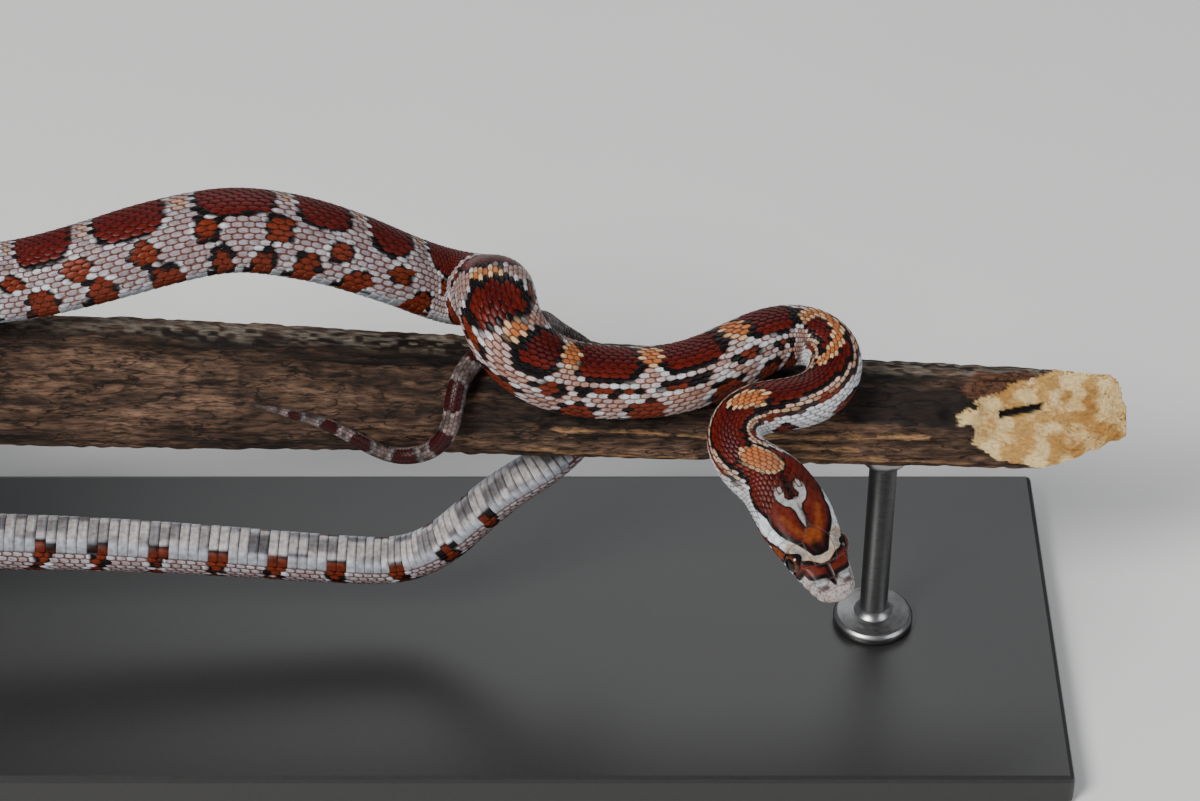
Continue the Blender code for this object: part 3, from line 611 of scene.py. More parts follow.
def blotch_distance(at, turn, radius, middle, half, centre, reach, power=2.4):
    """Rough distance in mm to a rounded blotch, negative inside it."""
    high = np.maximum(np.radians(reach) * radius, 0.3)
    reached = (np.abs((at - middle) / half) ** power
               + np.abs(np.radians(turn - centre) * radius / high) ** power) ** (1 / power)
    return (reached - 1) * np.minimum(half, high)


def repeated(rows, until, pace, half, centre, height, wander):
    """Carries a row of measured blotches on to where the pattern ends."""
    draw = np.random.RandomState(SEED)
    rows = list(rows)
    while rows[-1][0] + pace < until:
        shrink = 1 - 0.35 * rows[-1][0] / until
        rows.append((rows[-1][0] + pace * (0.9 + 0.2 * draw.rand()) * (0.75 + 0.25 * shrink),
                     half * shrink * (0.85 + 0.3 * draw.rand()), centre + wander * (draw.rand() - 0.5), height))
    return rows


def all_saddles():
    draw = np.random.RandomState(SEED)
    rows = list(SADDLES)
    while rows[-1][1] < 744:
        shrink = 1 - 0.35 * rows[-1][1] / 744
        start = rows[-1][1] + 5.2 * shrink * (0.85 + 0.3 * draw.rand())
        rows.append((start, start + 13.5 * shrink * (0.9 + 0.2 * draw.rand()), 44 + 8 * (draw.rand() - 0.5)))
    return rows + TAIL_SADDLES


def body_paint(at, degrees, colours):
    """Colour of the markings on the body."""
    radius = SNAKE.half(at)
    middle = table(PATTERN_MIDDLE, at)
    turn = (degrees - middle + 180.0) % 360.0 - 180.0
    down = np.abs(turn)
    left = turn < 0
    shift = np.where(left, 0.0, 3.5)
    tail = smooth(748, 775, at)
    mottle = lattice(at * 0.9, np.radians(turn) * radius * 0.9, 1024, 64, np.random.RandomState(SEED + 5))
    base = mixed(np.broadcast_to(np.array(colours.ground), at.shape + (3,)), colours.ground_cool,
                 smooth(150, 205, at))
    base = mixed(base, colours.tail_pale, tail)
    base = base * (1 + (0.25 + 1.3 * tail) * (mottle - 0.5))[..., None]
    base = mixed(base, colours.white, 0.30 * smooth(80, 108, down) * (1 - tail))
    nape = smooth(26, 28, at) * (1 - smooth(34, 44, at))
    base = mixed(base, colours.white, 0.9 * nape)

    saddle = np.full(at.shape, 99.0)
    for start, end, reach in all_saddles():
        near = np.abs(at - (start + end) / 2) < (end - start)
        saddle[near] = np.minimum(saddle[near], blotch_distance(
            at[near], turn[near], radius[near], (start + end) / 2, (end - start) / 2, 0.0, reach, 3.2))
    band = np.maximum(np.radians(down - table(NECK_BAND, at)) * radius, at - NECK_BAND_END)
    saddle = np.minimum(saddle, band)

    flank = np.full(at.shape, 99.0)
    for middle_mm, half, low, high in repeated(FLANK_BLOTCHES, 742, 14.6, 3.0, 62, 15, 10):
        near = np.abs(at - shift - middle_mm) < 12
        flank[near] = np.minimum(flank[near], blotch_distance(
            (at - shift)[near], down[near], radius[near], middle_mm, half, low, high, 1.9))
    bars = np.full(at.shape, 99.0)
    for middle_mm, half, low, high in repeated(BELLY_BARS, 742, 13.8, 2.9, 82, 150, 10):
        near = np.abs(at + shift - middle_mm) < 12
        bars[near] = np.minimum(bars[near], blotch_distance(
            (at + shift)[near], down[near], radius[near], middle_mm, half, (low + high) / 2,
            (high - low) / 2, 3.0))

    ragged = (mottle - 0.5) * (1 - tail)
    saddle, flank, bars = saddle + 0.5 * ragged, flank + 1.1 * ragged, bars + 1.1 * ragged
    pale = np.minimum(saddle, np.minimum(flank, bars))
    thin = smooth(165, 200, at)
    beside = (1 - smooth(0.95, 1.35, pale + 0.4 * thin)) * (0.45 + 0.55 * smooth(0.35, 0.65, mottle))
    base = mixed(base, colours.white, 0.9 * beside * (1 - 0.7 * tail))
    warm = smooth(0.15, 0.75, down / np.maximum(1.0, 42.0)) * 0.8
    red = mixed(np.broadcast_to(np.array(colours.saddle), base.shape), colours.saddle_light, warm)
    # From the arch on, the saddles are mixed towards a lighter, pinker red. This is a painted reflection of the
    # scales' gloss, spread over each saddle.
    red = mixed(red, np.array(colours.saddle) * (1.5, 4.6, 8.0), 0.75 * thin * (1 - tail))
    red = mixed(red, colours.tail_dark, tail)
    tan = (1 - smooth(9, 17, down)) * smooth(178, 200, at) * smooth(1.0, 1.8, saddle) * (1 - tail)
    base = mixed(base, np.array(colours.spot_edge) * (0.82, 0.74, 0.66), 0.75 * tan)

    stripe = smooth(30, 36, at) * (1 - smooth(80, 90, at))
    below = down - table(NECK_BAND, at)
    cream = stripe * smooth(1, 3, below) * (1 - smooth(17, 19, below))
    base = mixed(base, np.array(colours.spot_edge) * (0.80, 0.74, 0.72), 0.55 * cream)
    line = stripe * smooth(16, 18, below) * (1 - smooth(27, 29, below))
    patch = 0.5 + 0.5 * np.sin(2 * math.pi * (at - 49.5) / 13.0)
    base = mixed(base, colours.white, stripe * smooth(27, 30, below))
    base = mixed(base, colours.margin, 0.95 * line)
    base = mixed(base, colours.bar, 0.9 * line * smooth(0.55, 0.8, patch))

    base = mixed(base, colours.margin, 1 - smooth(0.15, 0.30, bars))
    base = mixed(base, colours.bar, 1 - smooth(-0.50, -0.30, bars))
    base = mixed(base, colours.margin, 1 - smooth(0.20, 0.35, flank + 0.1 * thin))
    base = mixed(base, colours.bar, 1 - smooth(-0.55, -0.35, flank - 0.10 * thin))
    base = mixed(base, colours.margin,
                 1 - smooth(0.30, 0.45, saddle + 0.25 * thin) * (1 - 0.5 * tail) - 0.3 * tail)
    within = (0.62 - 0.12 * thin) * (1 - tail) + 0.12 * tail
    base = np.where((saddle < -within)[..., None], red, base)

    spot = np.full(at.shape, 99.0)
    for row in SPOTS:
        near = np.abs(at - (row[0] + row[2]) / 2) < 14
        spot[near] = np.minimum(spot[near], capsule_distance(
            row, at[near], np.radians(turn[near]) * radius[near], float(SNAKE.half((row[0] + row[2]) / 2))))
    base = mixed(base, colours.margin, 1 - smooth(0.35, 0.65, spot))
    rim = np.array(colours.spot_edge) * (0.68 + 0.32 * smooth(34, 40, at))[..., None]
    base = mixed(base, rim, 1 - smooth(-0.05, 0.15, spot))
    dust = np.array(colours.ground) * (0.95, 0.70, 0.50)
    dusty = mixed(np.broadcast_to(np.array(colours.spot), base.shape), dust, 0.55 * (1 - smooth(30.0, 34.5, at)))
    base = mixed(base, dusty, 0.95 * (1 - smooth(-0.75, -0.55, spot)))
    return base


def head_paint(at, degrees, colours):
    """Colour of the markings on the head."""
    turn = degrees - PATTERN_MIDDLE[0][1]
    turn = (turn + 180.0) % 360.0 - 180.0
    down = np.abs(turn)
    radius = spread_radius(np.clip(at, 0, HEAD_END))
    x, y = at, np.radians(down) * radius
    base = np.broadcast_to(np.array(colours.snout), at.shape + (3,))
    base = mixed(base, colours.white, smooth(62, 82, down) * smooth(5.0, 11.0, at))
    base = mixed(base, colours.white, smooth(12.4, 14.5, at) * smooth(42, 54, down))
    base = mixed(base, colours.belly, smooth(118, 140, down))
    draw = np.random.RandomState(SEED + 21)
    specks = smooth(0.66, 0.82, lattice(x * 2.6, y * 2.6, 97, 97, draw))
    clouds = lattice(x * 0.9, y * 0.9, 31, 31, draw)
    base = base * (0.88 + 0.24 * clouds)[..., None]

    band_gap = polygon_distance(on_plane(SNOUT_BAND), x, y)
    crown_gap = polygon_distance(on_plane(CROWN), x, y)
    between = smooth(6.4, 7.2, at) * (1 - smooth(12.8, 14.4, at)) * (1 - smooth(58, 66, down))
    base = mixed(base, colours.band, between)
    front = between * (1 - smooth(0.3, 1.1, band_gap))
    base = mixed(base, np.array(colours.spot_edge) * (0.62, 0.50, 0.42), 0.55 * front)
    brow = capsule_distance((10.0, 30.0, 11.8, 41.0, 0.35), x, y, 5.9)
    base = mixed(base, np.array(colours.spear) * 0.50, 0.8 * (1 - smooth(-0.1, 0.85, brow)))
    snout = 1 - smooth(4.4, 5.2, at)
    base = mixed(base, np.array(colours.margin) * 9.0, 0.50 * specks * snout)
    blotch = capsule_distance(SNOUT_BLOTCH, x, y, 4.4)
    base = mixed(base, np.array(colours.crown) * (0.40, 1.3, 2.4), 0.85 * (1 - smooth(-0.30, 0.40, blotch)))
    oval = capsule_distance(SNOUT_OVAL, x, y, 4.4)
    base = mixed(base, np.array(colours.margin) * 7.0, 0.55 * (1 - smooth(0.0, 0.40, oval)))
    base = mixed(base, np.array(colours.white) * 0.52, 1 - smooth(-0.42, 0.02, oval))

    def area(corners, fill, base, edge=0.20, soft=0.20):
        distance = polygon_distance(on_plane(corners), x, y)
        base = mixed(base, colours.margin, 1 - smooth(edge, edge + 0.14, distance))
        return mixed(base, fill, 1 - smooth(-edge - soft, -edge + 0.02, distance))

    base = area(SNOUT_BAND, np.array(colours.crown) * (1.10, 1.15, 1.2), base, 0.26, 0.65)
    base = area(EYE_STRIPE, np.array(colours.bar) * (0.75, 0.8, 0.8), base)
    heart = polygon_distance(on_plane(EYE_STRIPE_HEART), x, y)
    base = mixed(base, colours.crown_heart, 0.8 * (1 - smooth(-0.3, 0.1, heart)))
    base = area(CROWN, np.array(colours.crown), base, 0.28, 1.0)
    lighter = (1 - smooth(-2.4, -1.1, crown_gap)) * (1 - smooth(19, 23, at)) * smooth(10.6, 12.0, at)
    base = mixed(base, np.array(colours.crown) * (1.30, 1.6, 1.5), 0.55 * lighter)
    frontal = polygon_distance(on_plane(CROWN_HEART), x, y)
    base = mixed(base, colours.crown_heart, 0.9 * (1 - smooth(-0.45, 0.15, frontal)) * smooth(10.9, 12.6, at))
    arm = capsule_distance(CROWN_ARM, x, y, 6.6)
    base = mixed(base, np.array(colours.crown_heart) * 0.80, 0.85 * (1 - smooth(-0.3, 0.35, arm)))
    spear = polygon_distance(on_plane(SPEAR), x, y)
    base = mixed(base, colours.margin, 1 - smooth(0.16, 0.30, spear))
    base = mixed(base, np.array(colours.spear) * (0.94 + 0.12 * clouds)[..., None], 1 - smooth(-0.14, 0.02, spear))

    mouth = mouth_turn(at)
    lips = smooth(-24, -20, down - mouth) * (1 - smooth(16, 19, down - mouth)) * smooth(0.5, 1.5, at)
    base = mixed(base, np.array(colours.margin) * 9.0, 0.45 * lips * specks * (1 - smooth(19, 22, at)))
    below = np.radians(down - mouth) * radius
    for place in LIP_DOTS:
        dot = np.hypot(x - place, (below + 0.75) * 0.8)
        base = mixed(base, np.array(colours.margin) * 3.0, 0.85 * (1 - smooth(0.20, 0.46, dot)))
    return base


def paint(at, degrees, colours):
    """Markings all over: the head's up to the nape, then the body's."""
    at, degrees = np.broadcast_arrays(np.asarray(at, float), np.asarray(degrees, float))
    body = body_paint(at, degrees, colours)
    head = head_paint(np.minimum(at, 28.0), degrees, colours)
    return mixed(head, body, smooth(26.6, 27.6, at))


def mouth_turn(at):
    """Degrees from the crown at which the mouth line runs."""
    near = np.clip(at, 0.0, MOUTH_BACK)
    level = np.abs(eased(MOUTH_LINE, near, 1)) / eased(HEAD_SHAPE, near, 3)
    return 180.0 - np.degrees(np.arccos(np.clip(level, 0, 1) ** (JAW_SQUARE / 2)))


def shield_outlines():
    outlines = [on_plane(corners) for corners in SHIELDS.values()]
    for start, end in zip(UPPER_LABIALS, UPPER_LABIALS[1:]):
        lip = [float(mouth_turn(np.array(place))) - 1.0 for place in (start, end)]
        top = [float(table(LABIAL_TOP, place)) for place in (start, end)]
        outlines.append(on_plane([(start, top[0]), (start, lip[0]), (end, lip[1]), (end, top[1])]))
    for start, end in zip(LOWER_LABIALS, LOWER_LABIALS[1:]):
        lip = [float(mouth_turn(np.array(place))) + 1.0 for place in (start, end)]
        outlines.append(on_plane([(start, lip[0]), (start, lip[0] + LABIAL_DEPTH),
                                  (end, lip[1] + LABIAL_DEPTH), (end, lip[1])]))
    return outlines


def shield_seams(at, degrees):
    """Distance in mm from the nearest seam between shields, and whether a shield covers the place."""
    down = np.abs((degrees + 180.0) % 360.0 - 180.0)
    y = np.radians(down) * spread_radius(np.clip(at, 0, HEAD_END))
    seam = np.full(at.shape, 9.0)
    covered = np.zeros(at.shape, bool)
    for outline in shield_outlines():
        distance = polygon_distance(outline, at, y)
        seam = np.minimum(seam, np.abs(distance))
        covered |= distance < 0
    return seam, covered


def mesh_from(name, points, faces):
    """Mesh from an array of points and arrays of quads or triangles."""
    mesh = bpy.data.meshes.new(name)
    mesh.vertices.add(len(points))
    mesh.vertices.foreach_set("co", np.ascontiguousarray(points, np.float32).ravel())
    corners = np.concatenate([face.ravel() for face in faces])
    sizes = np.concatenate([np.full(len(face), face.shape[1]) for face in faces])
    mesh.loops.add(len(corners))
    mesh.loops.foreach_set("vertex_index", corners.astype(np.int32))
    mesh.polygons.add(len(sizes))
    mesh.polygons.foreach_set("loop_start", np.concatenate([[0], np.cumsum(sizes)[:-1]]).astype(np.int32))
    mesh.update(calc_edges=True)
    mesh.shade_smooth()
    return mesh


def add_colour(mesh, name, values):
    layer = mesh.color_attributes.new(name, 'FLOAT_COLOR', 'POINT')
    rgba = np.ones((len(values), 4), np.float32)
    rgba[:, :3] = values
    layer.data.foreach_set("color", rgba.ravel())


def add_number(mesh, name, values):
    mesh.attributes.new(name, 'FLOAT', 'POINT').data.foreach_set("value", values.astype(np.float32))


def add_map(mesh, name, corner_uv):
    layer = mesh.uv_layers.new(name=name)
    layer.data.foreach_set("uv", np.ascontiguousarray(corner_uv, np.float32).ravel())


def corner_points(mesh):
    found = np.empty(len(mesh.loops), np.int32)
    mesh.loops.foreach_get("vertex_index", found)
    return found


def new_piece(name, mesh, material):
    old = bpy.data.objects.get(name)
    if old:
        bpy.data.objects.remove(old, do_unlink=True)
    piece = bpy.data.objects.new(name, mesh)
    bpy.context.scene.collection.objects.link(piece)
    mesh.materials.append(material)
    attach(piece, "root")
    return piece


def tube_faces(rings, sides, first_cap, last_cap):
    """Quads of a tube, and fans that close its ends round two extra points."""
    ring = np.arange(rings - 1)[:, None] * sides
    k = np.arange(sides)
    after = (k + 1) % sides
    quads = np.stack([ring + k, ring + sides + k, ring + sides + after, ring + after], axis=-1).reshape(-1, 4)
    last = (rings - 1) * sides
    fans = [np.stack([np.full(sides, first_cap), k, after], axis=-1),
            np.stack([np.full(sides, last_cap), last + after, last + k], axis=-1)]
    return quads, np.concatenate(fans)


def tube_map(rings, sides, heights):
    """Corner places of the quads and fans of a tube on its unrolled skin, seam at the belly."""
    k = np.arange(sides)
    low, high = k / sides, (k + 1) / sides
    maps = []
    for near, far in zip(heights, heights[1:]):
        maps.append(np.stack([
            np.stack([np.full(sides, near), low], -1), np.stack([np.full(sides, far), low], -1),
            np.stack([np.full(sides, far), high], -1), np.stack([np.full(sides, near), high], -1)], axis=1))
    quads = np.concatenate(maps).reshape(-1, 2)
    first = np.stack([np.stack([np.full(sides, heights[0] - 0.002), (low + high) / 2], -1),
                      np.stack([np.full(sides, heights[0]), low], -1),
                      np.stack([np.full(sides, heights[0]), high], -1)], axis=1)
    last = np.stack([np.stack([np.full(sides, heights[-1] + 0.002), (low + high) / 2], -1),
                     np.stack([np.full(sides, heights[-1]), high], -1),
                     np.stack([np.full(sides, heights[-1]), low], -1)], axis=1)
    return np.concatenate([quads, first.reshape(-1, 2), last.reshape(-1, 2)])


def node(tree, kind, place, **inputs):
    made = tree.nodes.new(kind)
    made.location = place
    for key, value in inputs.items():
        made.inputs[key.replace("_", " ")].default_value = value
    return made


def new_material(name):
    """Fresh material with its shader, as (material, tree, shader)."""
    old = bpy.data.materials.get(name)
    if old:
        bpy.data.materials.remove(old)
    made = bpy.data.materials.new(name)
    made.use_nodes = True
    return made, made.node_tree, made.node_tree.nodes["Principled BSDF"]


def ramp(tree, place, stops):
    """Colour ramp through (position, colour) stops."""
    made = node(tree, "ShaderNodeValToRGB", place)
    elements = made.color_ramp.elements
    while len(elements) < len(stops):
        elements.new(0.5)
    for element, (position, colour) in zip(elements, stops):
        element.position = position
        element.color = (*colour, 1.0) if len(colour) == 3 else colour
    return made


def mix_colour(tree, place, blend='MIX'):
    made = tree.nodes.new("ShaderNodeMix")
    made.data_type = 'RGBA'
    made.blend_type = blend
    made.location = place
    return made


def fine_noise(tree, place, scale, stretch=(1.0, 1.0, 1.0), detail=3.0):
    """Noise in the object's own space."""
    where = node(tree, "ShaderNodeTexCoord", (place[0] - 400, place[1]))
    mapping = node(tree, "ShaderNodeMapping", (place[0] - 200, place[1]), Scale=stretch)
    noise = node(tree, "ShaderNodeTexNoise", place, Scale=scale, Detail=detail)
    tree.links.new(where.outputs["Object"], mapping.inputs["Vector"])
    tree.links.new(mapping.outputs["Vector"], noise.inputs["Vector"])
    return noise


def scale_material(name, roughness, rim=True):
    """Painted scales: their own colour, a darker rim, fine mottling and a soft gloss."""
    made, tree, shader = new_material(name)
    links = tree.links
    own = node(tree, "ShaderNodeAttribute", (-900, 200))
    own.attribute_name = "Paint"
    mottle = fine_noise(tree, (-700, -100), 900.0, detail=4.0)
    shade = ramp(tree, (-480, -100), [(0.32, (0.66, 0.61, 0.58)), (0.62, (1.10, 1.09, 1.08))])
    links.new(mottle.outputs["Fac"], shade.inputs["Fac"])
    tint = mix_colour(tree, (-220, 160), 'MULTIPLY')
    tint.inputs["Factor"].default_value = 1.0
    colour = own.outputs["Color"]
    if rim:
        edge_colour = node(tree, "ShaderNodeAttribute", (-900, 0))
        edge_colour.attribute_name = "Rim"
        edge = node(tree, "ShaderNodeAttribute", (-900, -200))
        edge.attribute_name = "Edge"
        sharp = ramp(tree, (-700, 380), [(0.48, (0.0, 0.0, 0.0)), (0.72, (1.0, 1.0, 1.0))])
        links.new(edge.outputs["Fac"], sharp.inputs["Fac"])
        rimmed = mix_colour(tree, (-460, 260))
        links.new(sharp.outputs["Color"], rimmed.inputs["Factor"])
        core = ramp(tree, (-700, 620), [(0.10, (0.86, 0.80, 0.76)), (0.62, (1.06, 1.07, 1.09))])
        links.new(edge.outputs["Fac"], core.inputs["Fac"])
        centred = mix_colour(tree, (-460, 480), 'MULTIPLY')
        centred.inputs["Factor"].default_value = 1.0
        links.new(own.outputs["Color"], centred.inputs["A"])
        links.new(core.outputs["Color"], centred.inputs["B"])
        links.new(centred.outputs["Result"], rimmed.inputs["A"])
        links.new(edge_colour.outputs["Color"], rimmed.inputs["B"])
        colour = rimmed.outputs["Result"]
    links.new(colour, tint.inputs["A"])
    links.new(shade.outputs["Color"], tint.inputs["B"])
    links.new(tint.outputs["Result"], shader.inputs["Base Color"])
    gloss = ramp(tree, (-480, -360), [(0.3, (roughness - 0.06,) * 3), (0.7, (roughness + 0.09,) * 3)])
    links.new(mottle.outputs["Fac"], gloss.inputs["Fac"])
    links.new(gloss.outputs["Color"], shader.inputs["Roughness"])
    grain = fine_noise(tree, (-700, -620), 3200.0, detail=2.0)
    bump = node(tree, "ShaderNodeBump", (-220, -500), Strength=0.25, Distance=0.00006)
    links.new(grain.outputs["Fac"], bump.inputs["Height"])
    links.new(bump.outputs["Normal"], shader.inputs["Normal"])
    shader.inputs["Specular IOR Level"].default_value = 0.16
    return made


# Shape of one scale: places along it, its half width and rise there, and places across it
PLATE_ALONG = np.array([0.0, 0.16, 0.36, 0.58, 0.78, 0.92, 1.0])
PLATE_WIDTH = np.array([0.32, 0.72, 0.98, 1.0, 0.78, 0.42, 0.10])
PLATE_RISE = np.array([-1.0, -0.66, -0.30, -0.10, 0.02, 0.04, -0.02])
PLATE_ACROSS = np.array([-1.0, -0.78, -0.30, 0.30, 0.78, 1.0])


def plate_faces(rows, columns):
    """Top grid of a plate and the fan that closes it below, round one extra point."""
    index = np.arange(rows * columns).reshape(rows, columns)
    quads = np.stack([index[:-1, :-1], index[1:, :-1], index[1:, 1:], index[:-1, 1:]], axis=-1).reshape(-1, 4)
    rim = np.concatenate([index[0, :], index[1:, -1], index[-1, -2::-1], index[-2:0:-1, 0]])
    below = np.full(len(rim), rows * columns)
    fan = np.stack([rim, np.roll(rim, -1), below], axis=-1)
    return quads, fan


def plates(name, roots, sizes, spread, shape, colours, material, span):
    """Joined scales or scutes: roots are mm and degrees, sizes mm long and degrees of half width."""
    along, widths, rise, across = shape
    rows, columns = len(along), len(across)
    at0, turn0 = roots
    length, half = sizes
    grid_at = at0[:, None, None] + length[:, None, None] * (along[:, None] - 0.5)
    across_of = across[None, None, :] * widths[None, :, None]
    grid_turn = turn0[:, None, None] + half[:, None, None] * across_of
    grid_at = np.broadcast_to(grid_at, grid_turn.shape)
    domed = 0.42 * np.abs(across) ** 2.6
    lift = spread[:, None, None] * (rise[:, None] - domed[None, :])[None]
    lift = np.maximum(lift, -1.15 * spread[:, None, None])
    top = SNAKE.points(np.clip(grid_at, 0, SNAKE.total), grid_turn, lift)
    below = SNAKE.points(at0, turn0, -1.5 * spread)
    points = np.concatenate([top.reshape(len(at0), -1, 3), below[:, None]], axis=1)
    quads, fan = plate_faces(rows, columns)
    step = (rows * columns + 1) * np.arange(len(at0))[:, None, None]
    mesh = mesh_from(name, points.reshape(-1, 3), [(quads[None] + step).reshape(-1, 4),
                                                   (fan[None] + step).reshape(-1, 3)])

    pull = (0.06 + 0.84 * (1 - smooth(27.5, 33.0, at0)) + 0.30 * smooth(165, 200, at0))[:, None, None]
    paint_at = at0[:, None, None] + (grid_at - at0[:, None, None]) * pull
    paint_turn = turn0[:, None, None] + (grid_turn - turn0[:, None, None]) * pull
    own = paint(paint_at, paint_turn, colours)
    draw = np.random.RandomState(SEED + len(at0))
    own = own * (1 + 0.20 * (draw.rand(len(at0)) - 0.5))[:, None, None, None]
    light = smooth(0.14, 0.24, own.mean(axis=-1, keepdims=True))
    clean = smooth(0.44, 0.62, own[..., 2:3])
    blush = 0.34 * draw.rand(len(at0))[:, None, None, None] * light * (1 - 0.8 * clean)
    own = own * (1 - blush) + blush * np.array(colours.ground_line) * 1.8
    keep = 0.06 + 0.30 * clean
    line = light * (own * keep + (1 - keep) * np.array(colours.ground_line)) + (1 - light) * own * 0.50
    edge = np.maximum(np.abs(across)[None, :], smooth(0.66, 0.96, along)[:, None])
    edge = np.broadcast_to(edge[None], own.shape[:3])

    def with_below(values):
        flat = values.reshape((len(at0), rows * columns) + values.shape[3:])
        return np.concatenate([flat, flat[:, :1]], axis=1)

    add_colour(mesh, "Paint", with_below(own).reshape(-1, 3))
    add_colour(mesh, "Rim", with_below(line).reshape(-1, 3))
    add_number(mesh, "Edge", with_below(edge).ravel())
    patch = 0.004
    u = (at0 - span[0]) / (span[1] - span[0]) * 0.98 + 0.01
    v = (((turn0 + 180.0) % 360.0) / 360.0) * 0.98 + 0.01
    spots = np.stack(np.broadcast_arrays(
        u[:, None, None] + patch * (along[:, None] - 0.5), v[:, None, None] + patch * 0.5 * across[None, :]), -1)
    spots = with_below(spots)
    spots[:, -1] = np.stack([u, v], -1)
    add_map(mesh, "OFBake", spots.reshape(-1, 2)[corner_points(mesh)])
    return new_piece(name, mesh, material)


def scale_beats(sizes):
    """Places in mm, half a scale apart, all along the snake."""
    at = np.arange(0.0, SNAKE.total, 0.25)
    bend = np.linalg.norm(np.gradient(SNAKE.forward, axis=0), axis=1)
    half = np.maximum(SNAKE.half(at), 0.5)
    crowd = 1 + BEND_PACE * half * np.interp(at, SNAKE.along, bend)
    usual = np.minimum(SLENDER_PACE[0] * half ** SLENDER_PACE[1], STOUT_PACE[0] * half ** STOUT_PACE[1])
    pace = sizes.scale_pace * usual * table(ROW_PACE, at) / crowd
    beats = np.concatenate([[0.0], np.cumsum(0.25 / pace)[:-1]])
    return np.interp(np.arange(0.0, beats[-1], 0.5), beats, at), at, pace


def back_rows(sizes, start, end):
    """Roots and sizes of the scales of the back between two places."""
    halves, at, pace = scale_beats(sizes)
    found = []
    for k, place in enumerate(halves):
        if not start <= place < end:
            continue
        count = [rows for begin, rows in ROW_COUNTS if begin <= place][-1]
        edge = float(table(BELLY_EDGE, place))
        rows = np.arange(count) - (count - 1) / 2
        rows = rows[(np.arange(count) + k) % 2 == 0]
        share = rows / (count / 2)
        turn = edge * (0.92 * share + 0.08 * share ** 3)
        half = edge / count * (0.92 + 0.24 * share ** 2) * sizes.scale_breadth
        length = float(np.interp(place, at, pace)) * sizes.scale_overlap
        found.append(np.stack([np.full(len(rows), place), turn, half, np.full(len(rows), length)]))
    at0, turn, half, length = np.concatenate(found, axis=1)
    return at0, turn, half, length


def throat_rows(sizes, start, end):
    """Roots and sizes of the small scales of the throat, between the chin shields and the scutes."""
    halves, at, pace = scale_beats(sizes)
    found = []
    for k, place in enumerate(halves):
        if not start <= place < end:
            continue
        edge = float(table(BELLY_EDGE, place)) + 2
        count = 15
        turn = edge + (360 - 2 * edge) * (np.arange(count) + 0.5 * (k % 2)) / (count - 0.5)
        length = float(np.interp(place, at, pace)) * sizes.scale_overlap
        half = (360 - 2 * edge) / count * 0.62
        found.append(np.stack([np.full(count, place), turn, np.full(count, half), np.full(count, length)]))
    return np.concatenate(found, axis=1)


def behind_shields(at, turn, length):
    """Scales whose free part no shield covers."""
    covered = shield_seams(at + 0.22 * length, turn)[1]
    return ~covered


def coat_lift(at):
    """Depth of the coat in mm at a place; it is thinner where the snake is."""
    return np.clip(SNAKE.half(at) / 8.0, 0.25, 1.0)


class SNAKE_OT_stage(bpy.types.Operator):
    """Camera at the photograph's angle, pale floor and soft studio light"""
    bl_idname = "snake.stage"
    bl_label = "Camera and stage"

    def execute(self, context):
        scene = context.scene
        view = scene.snake_view
        middle = Vector(BRANCH_ZERO)
        camera = bpy.data.objects.new("camera", bpy.data.cameras.new("camera"))
        camera.data.lens = view.lens
        camera.data.sensor_width = 36.0
        camera.data.clip_start = 0.01
        camera.location = middle + Vector((0.0, -math.cos(view.elevation), math.sin(view.elevation))) * view.distance
        camera.rotation_euler = (math.pi / 2 - view.elevation, 0.0, 0.0)
        scene.collection.objects.link(camera)
        scene.camera = camera

        size = 3.0
        corners = np.array([(-size, -size, 0), (size, -size, 0), (size, size, 0), (-size, size, 0)], float)
        floor_mesh = mesh_from("floor", corners, [np.array([[0, 1, 2, 3]])])
        material, tree, shader = new_material("floor_paper")
        shade = fine_noise(tree, (-500, 0), 14.0)
        colour = tuple(scene.snake_colours.floor)
        tone = ramp(tree, (-260, 0), [(0.3, tuple(c * 0.98 for c in colour)), (0.7, colour)])
        tree.links.new(shade.outputs["Fac"], tone.inputs["Fac"])
        tree.links.new(tone.outputs["Color"], shader.inputs["Base Color"])
        shader.inputs["Roughness"].default_value = 0.85
        floor_mesh.materials.append(material)
        floor = bpy.data.objects.new("floor", floor_mesh)
        scene.collection.objects.link(floor)

        self.light("key", (-0.50, -0.70, 0.95), 0.50, view.key_power, (1.0, 0.985, 0.96))
        self.light("fill", (0.85, -0.45, 0.55), 0.60, view.fill_power, (0.94, 0.97, 1.0))
        self.light("rim", (0.15, 0.85, 0.75), 0.80, view.rim_power, (0.97, 0.985, 1.0))
        world = bpy.data.worlds.new("studio")
        world.use_nodes = True
        back = world.node_tree.nodes["Background"]
        back.inputs["Color"].default_value = (0.93, 0.95, 1.0, 1.0)
        back.inputs["Strength"].default_value = view.sky
        scene.world = world
        return {'FINISHED'}

    @staticmethod
    def light(name, place, size, power, colour):
        data = bpy.data.lights.new(name, 'AREA')
        data.shape = 'DISK'
        data.size = size
        data.energy = power
        data.color = colour
        lamp = bpy.data.objects.new(name, data)
        lamp.location = place
        lamp.rotation_euler = (Vector(BRANCH_ZERO) - Vector(place)).to_track_quat('-Z', 'Y').to_euler()
        bpy.context.scene.collection.objects.link(lamp)


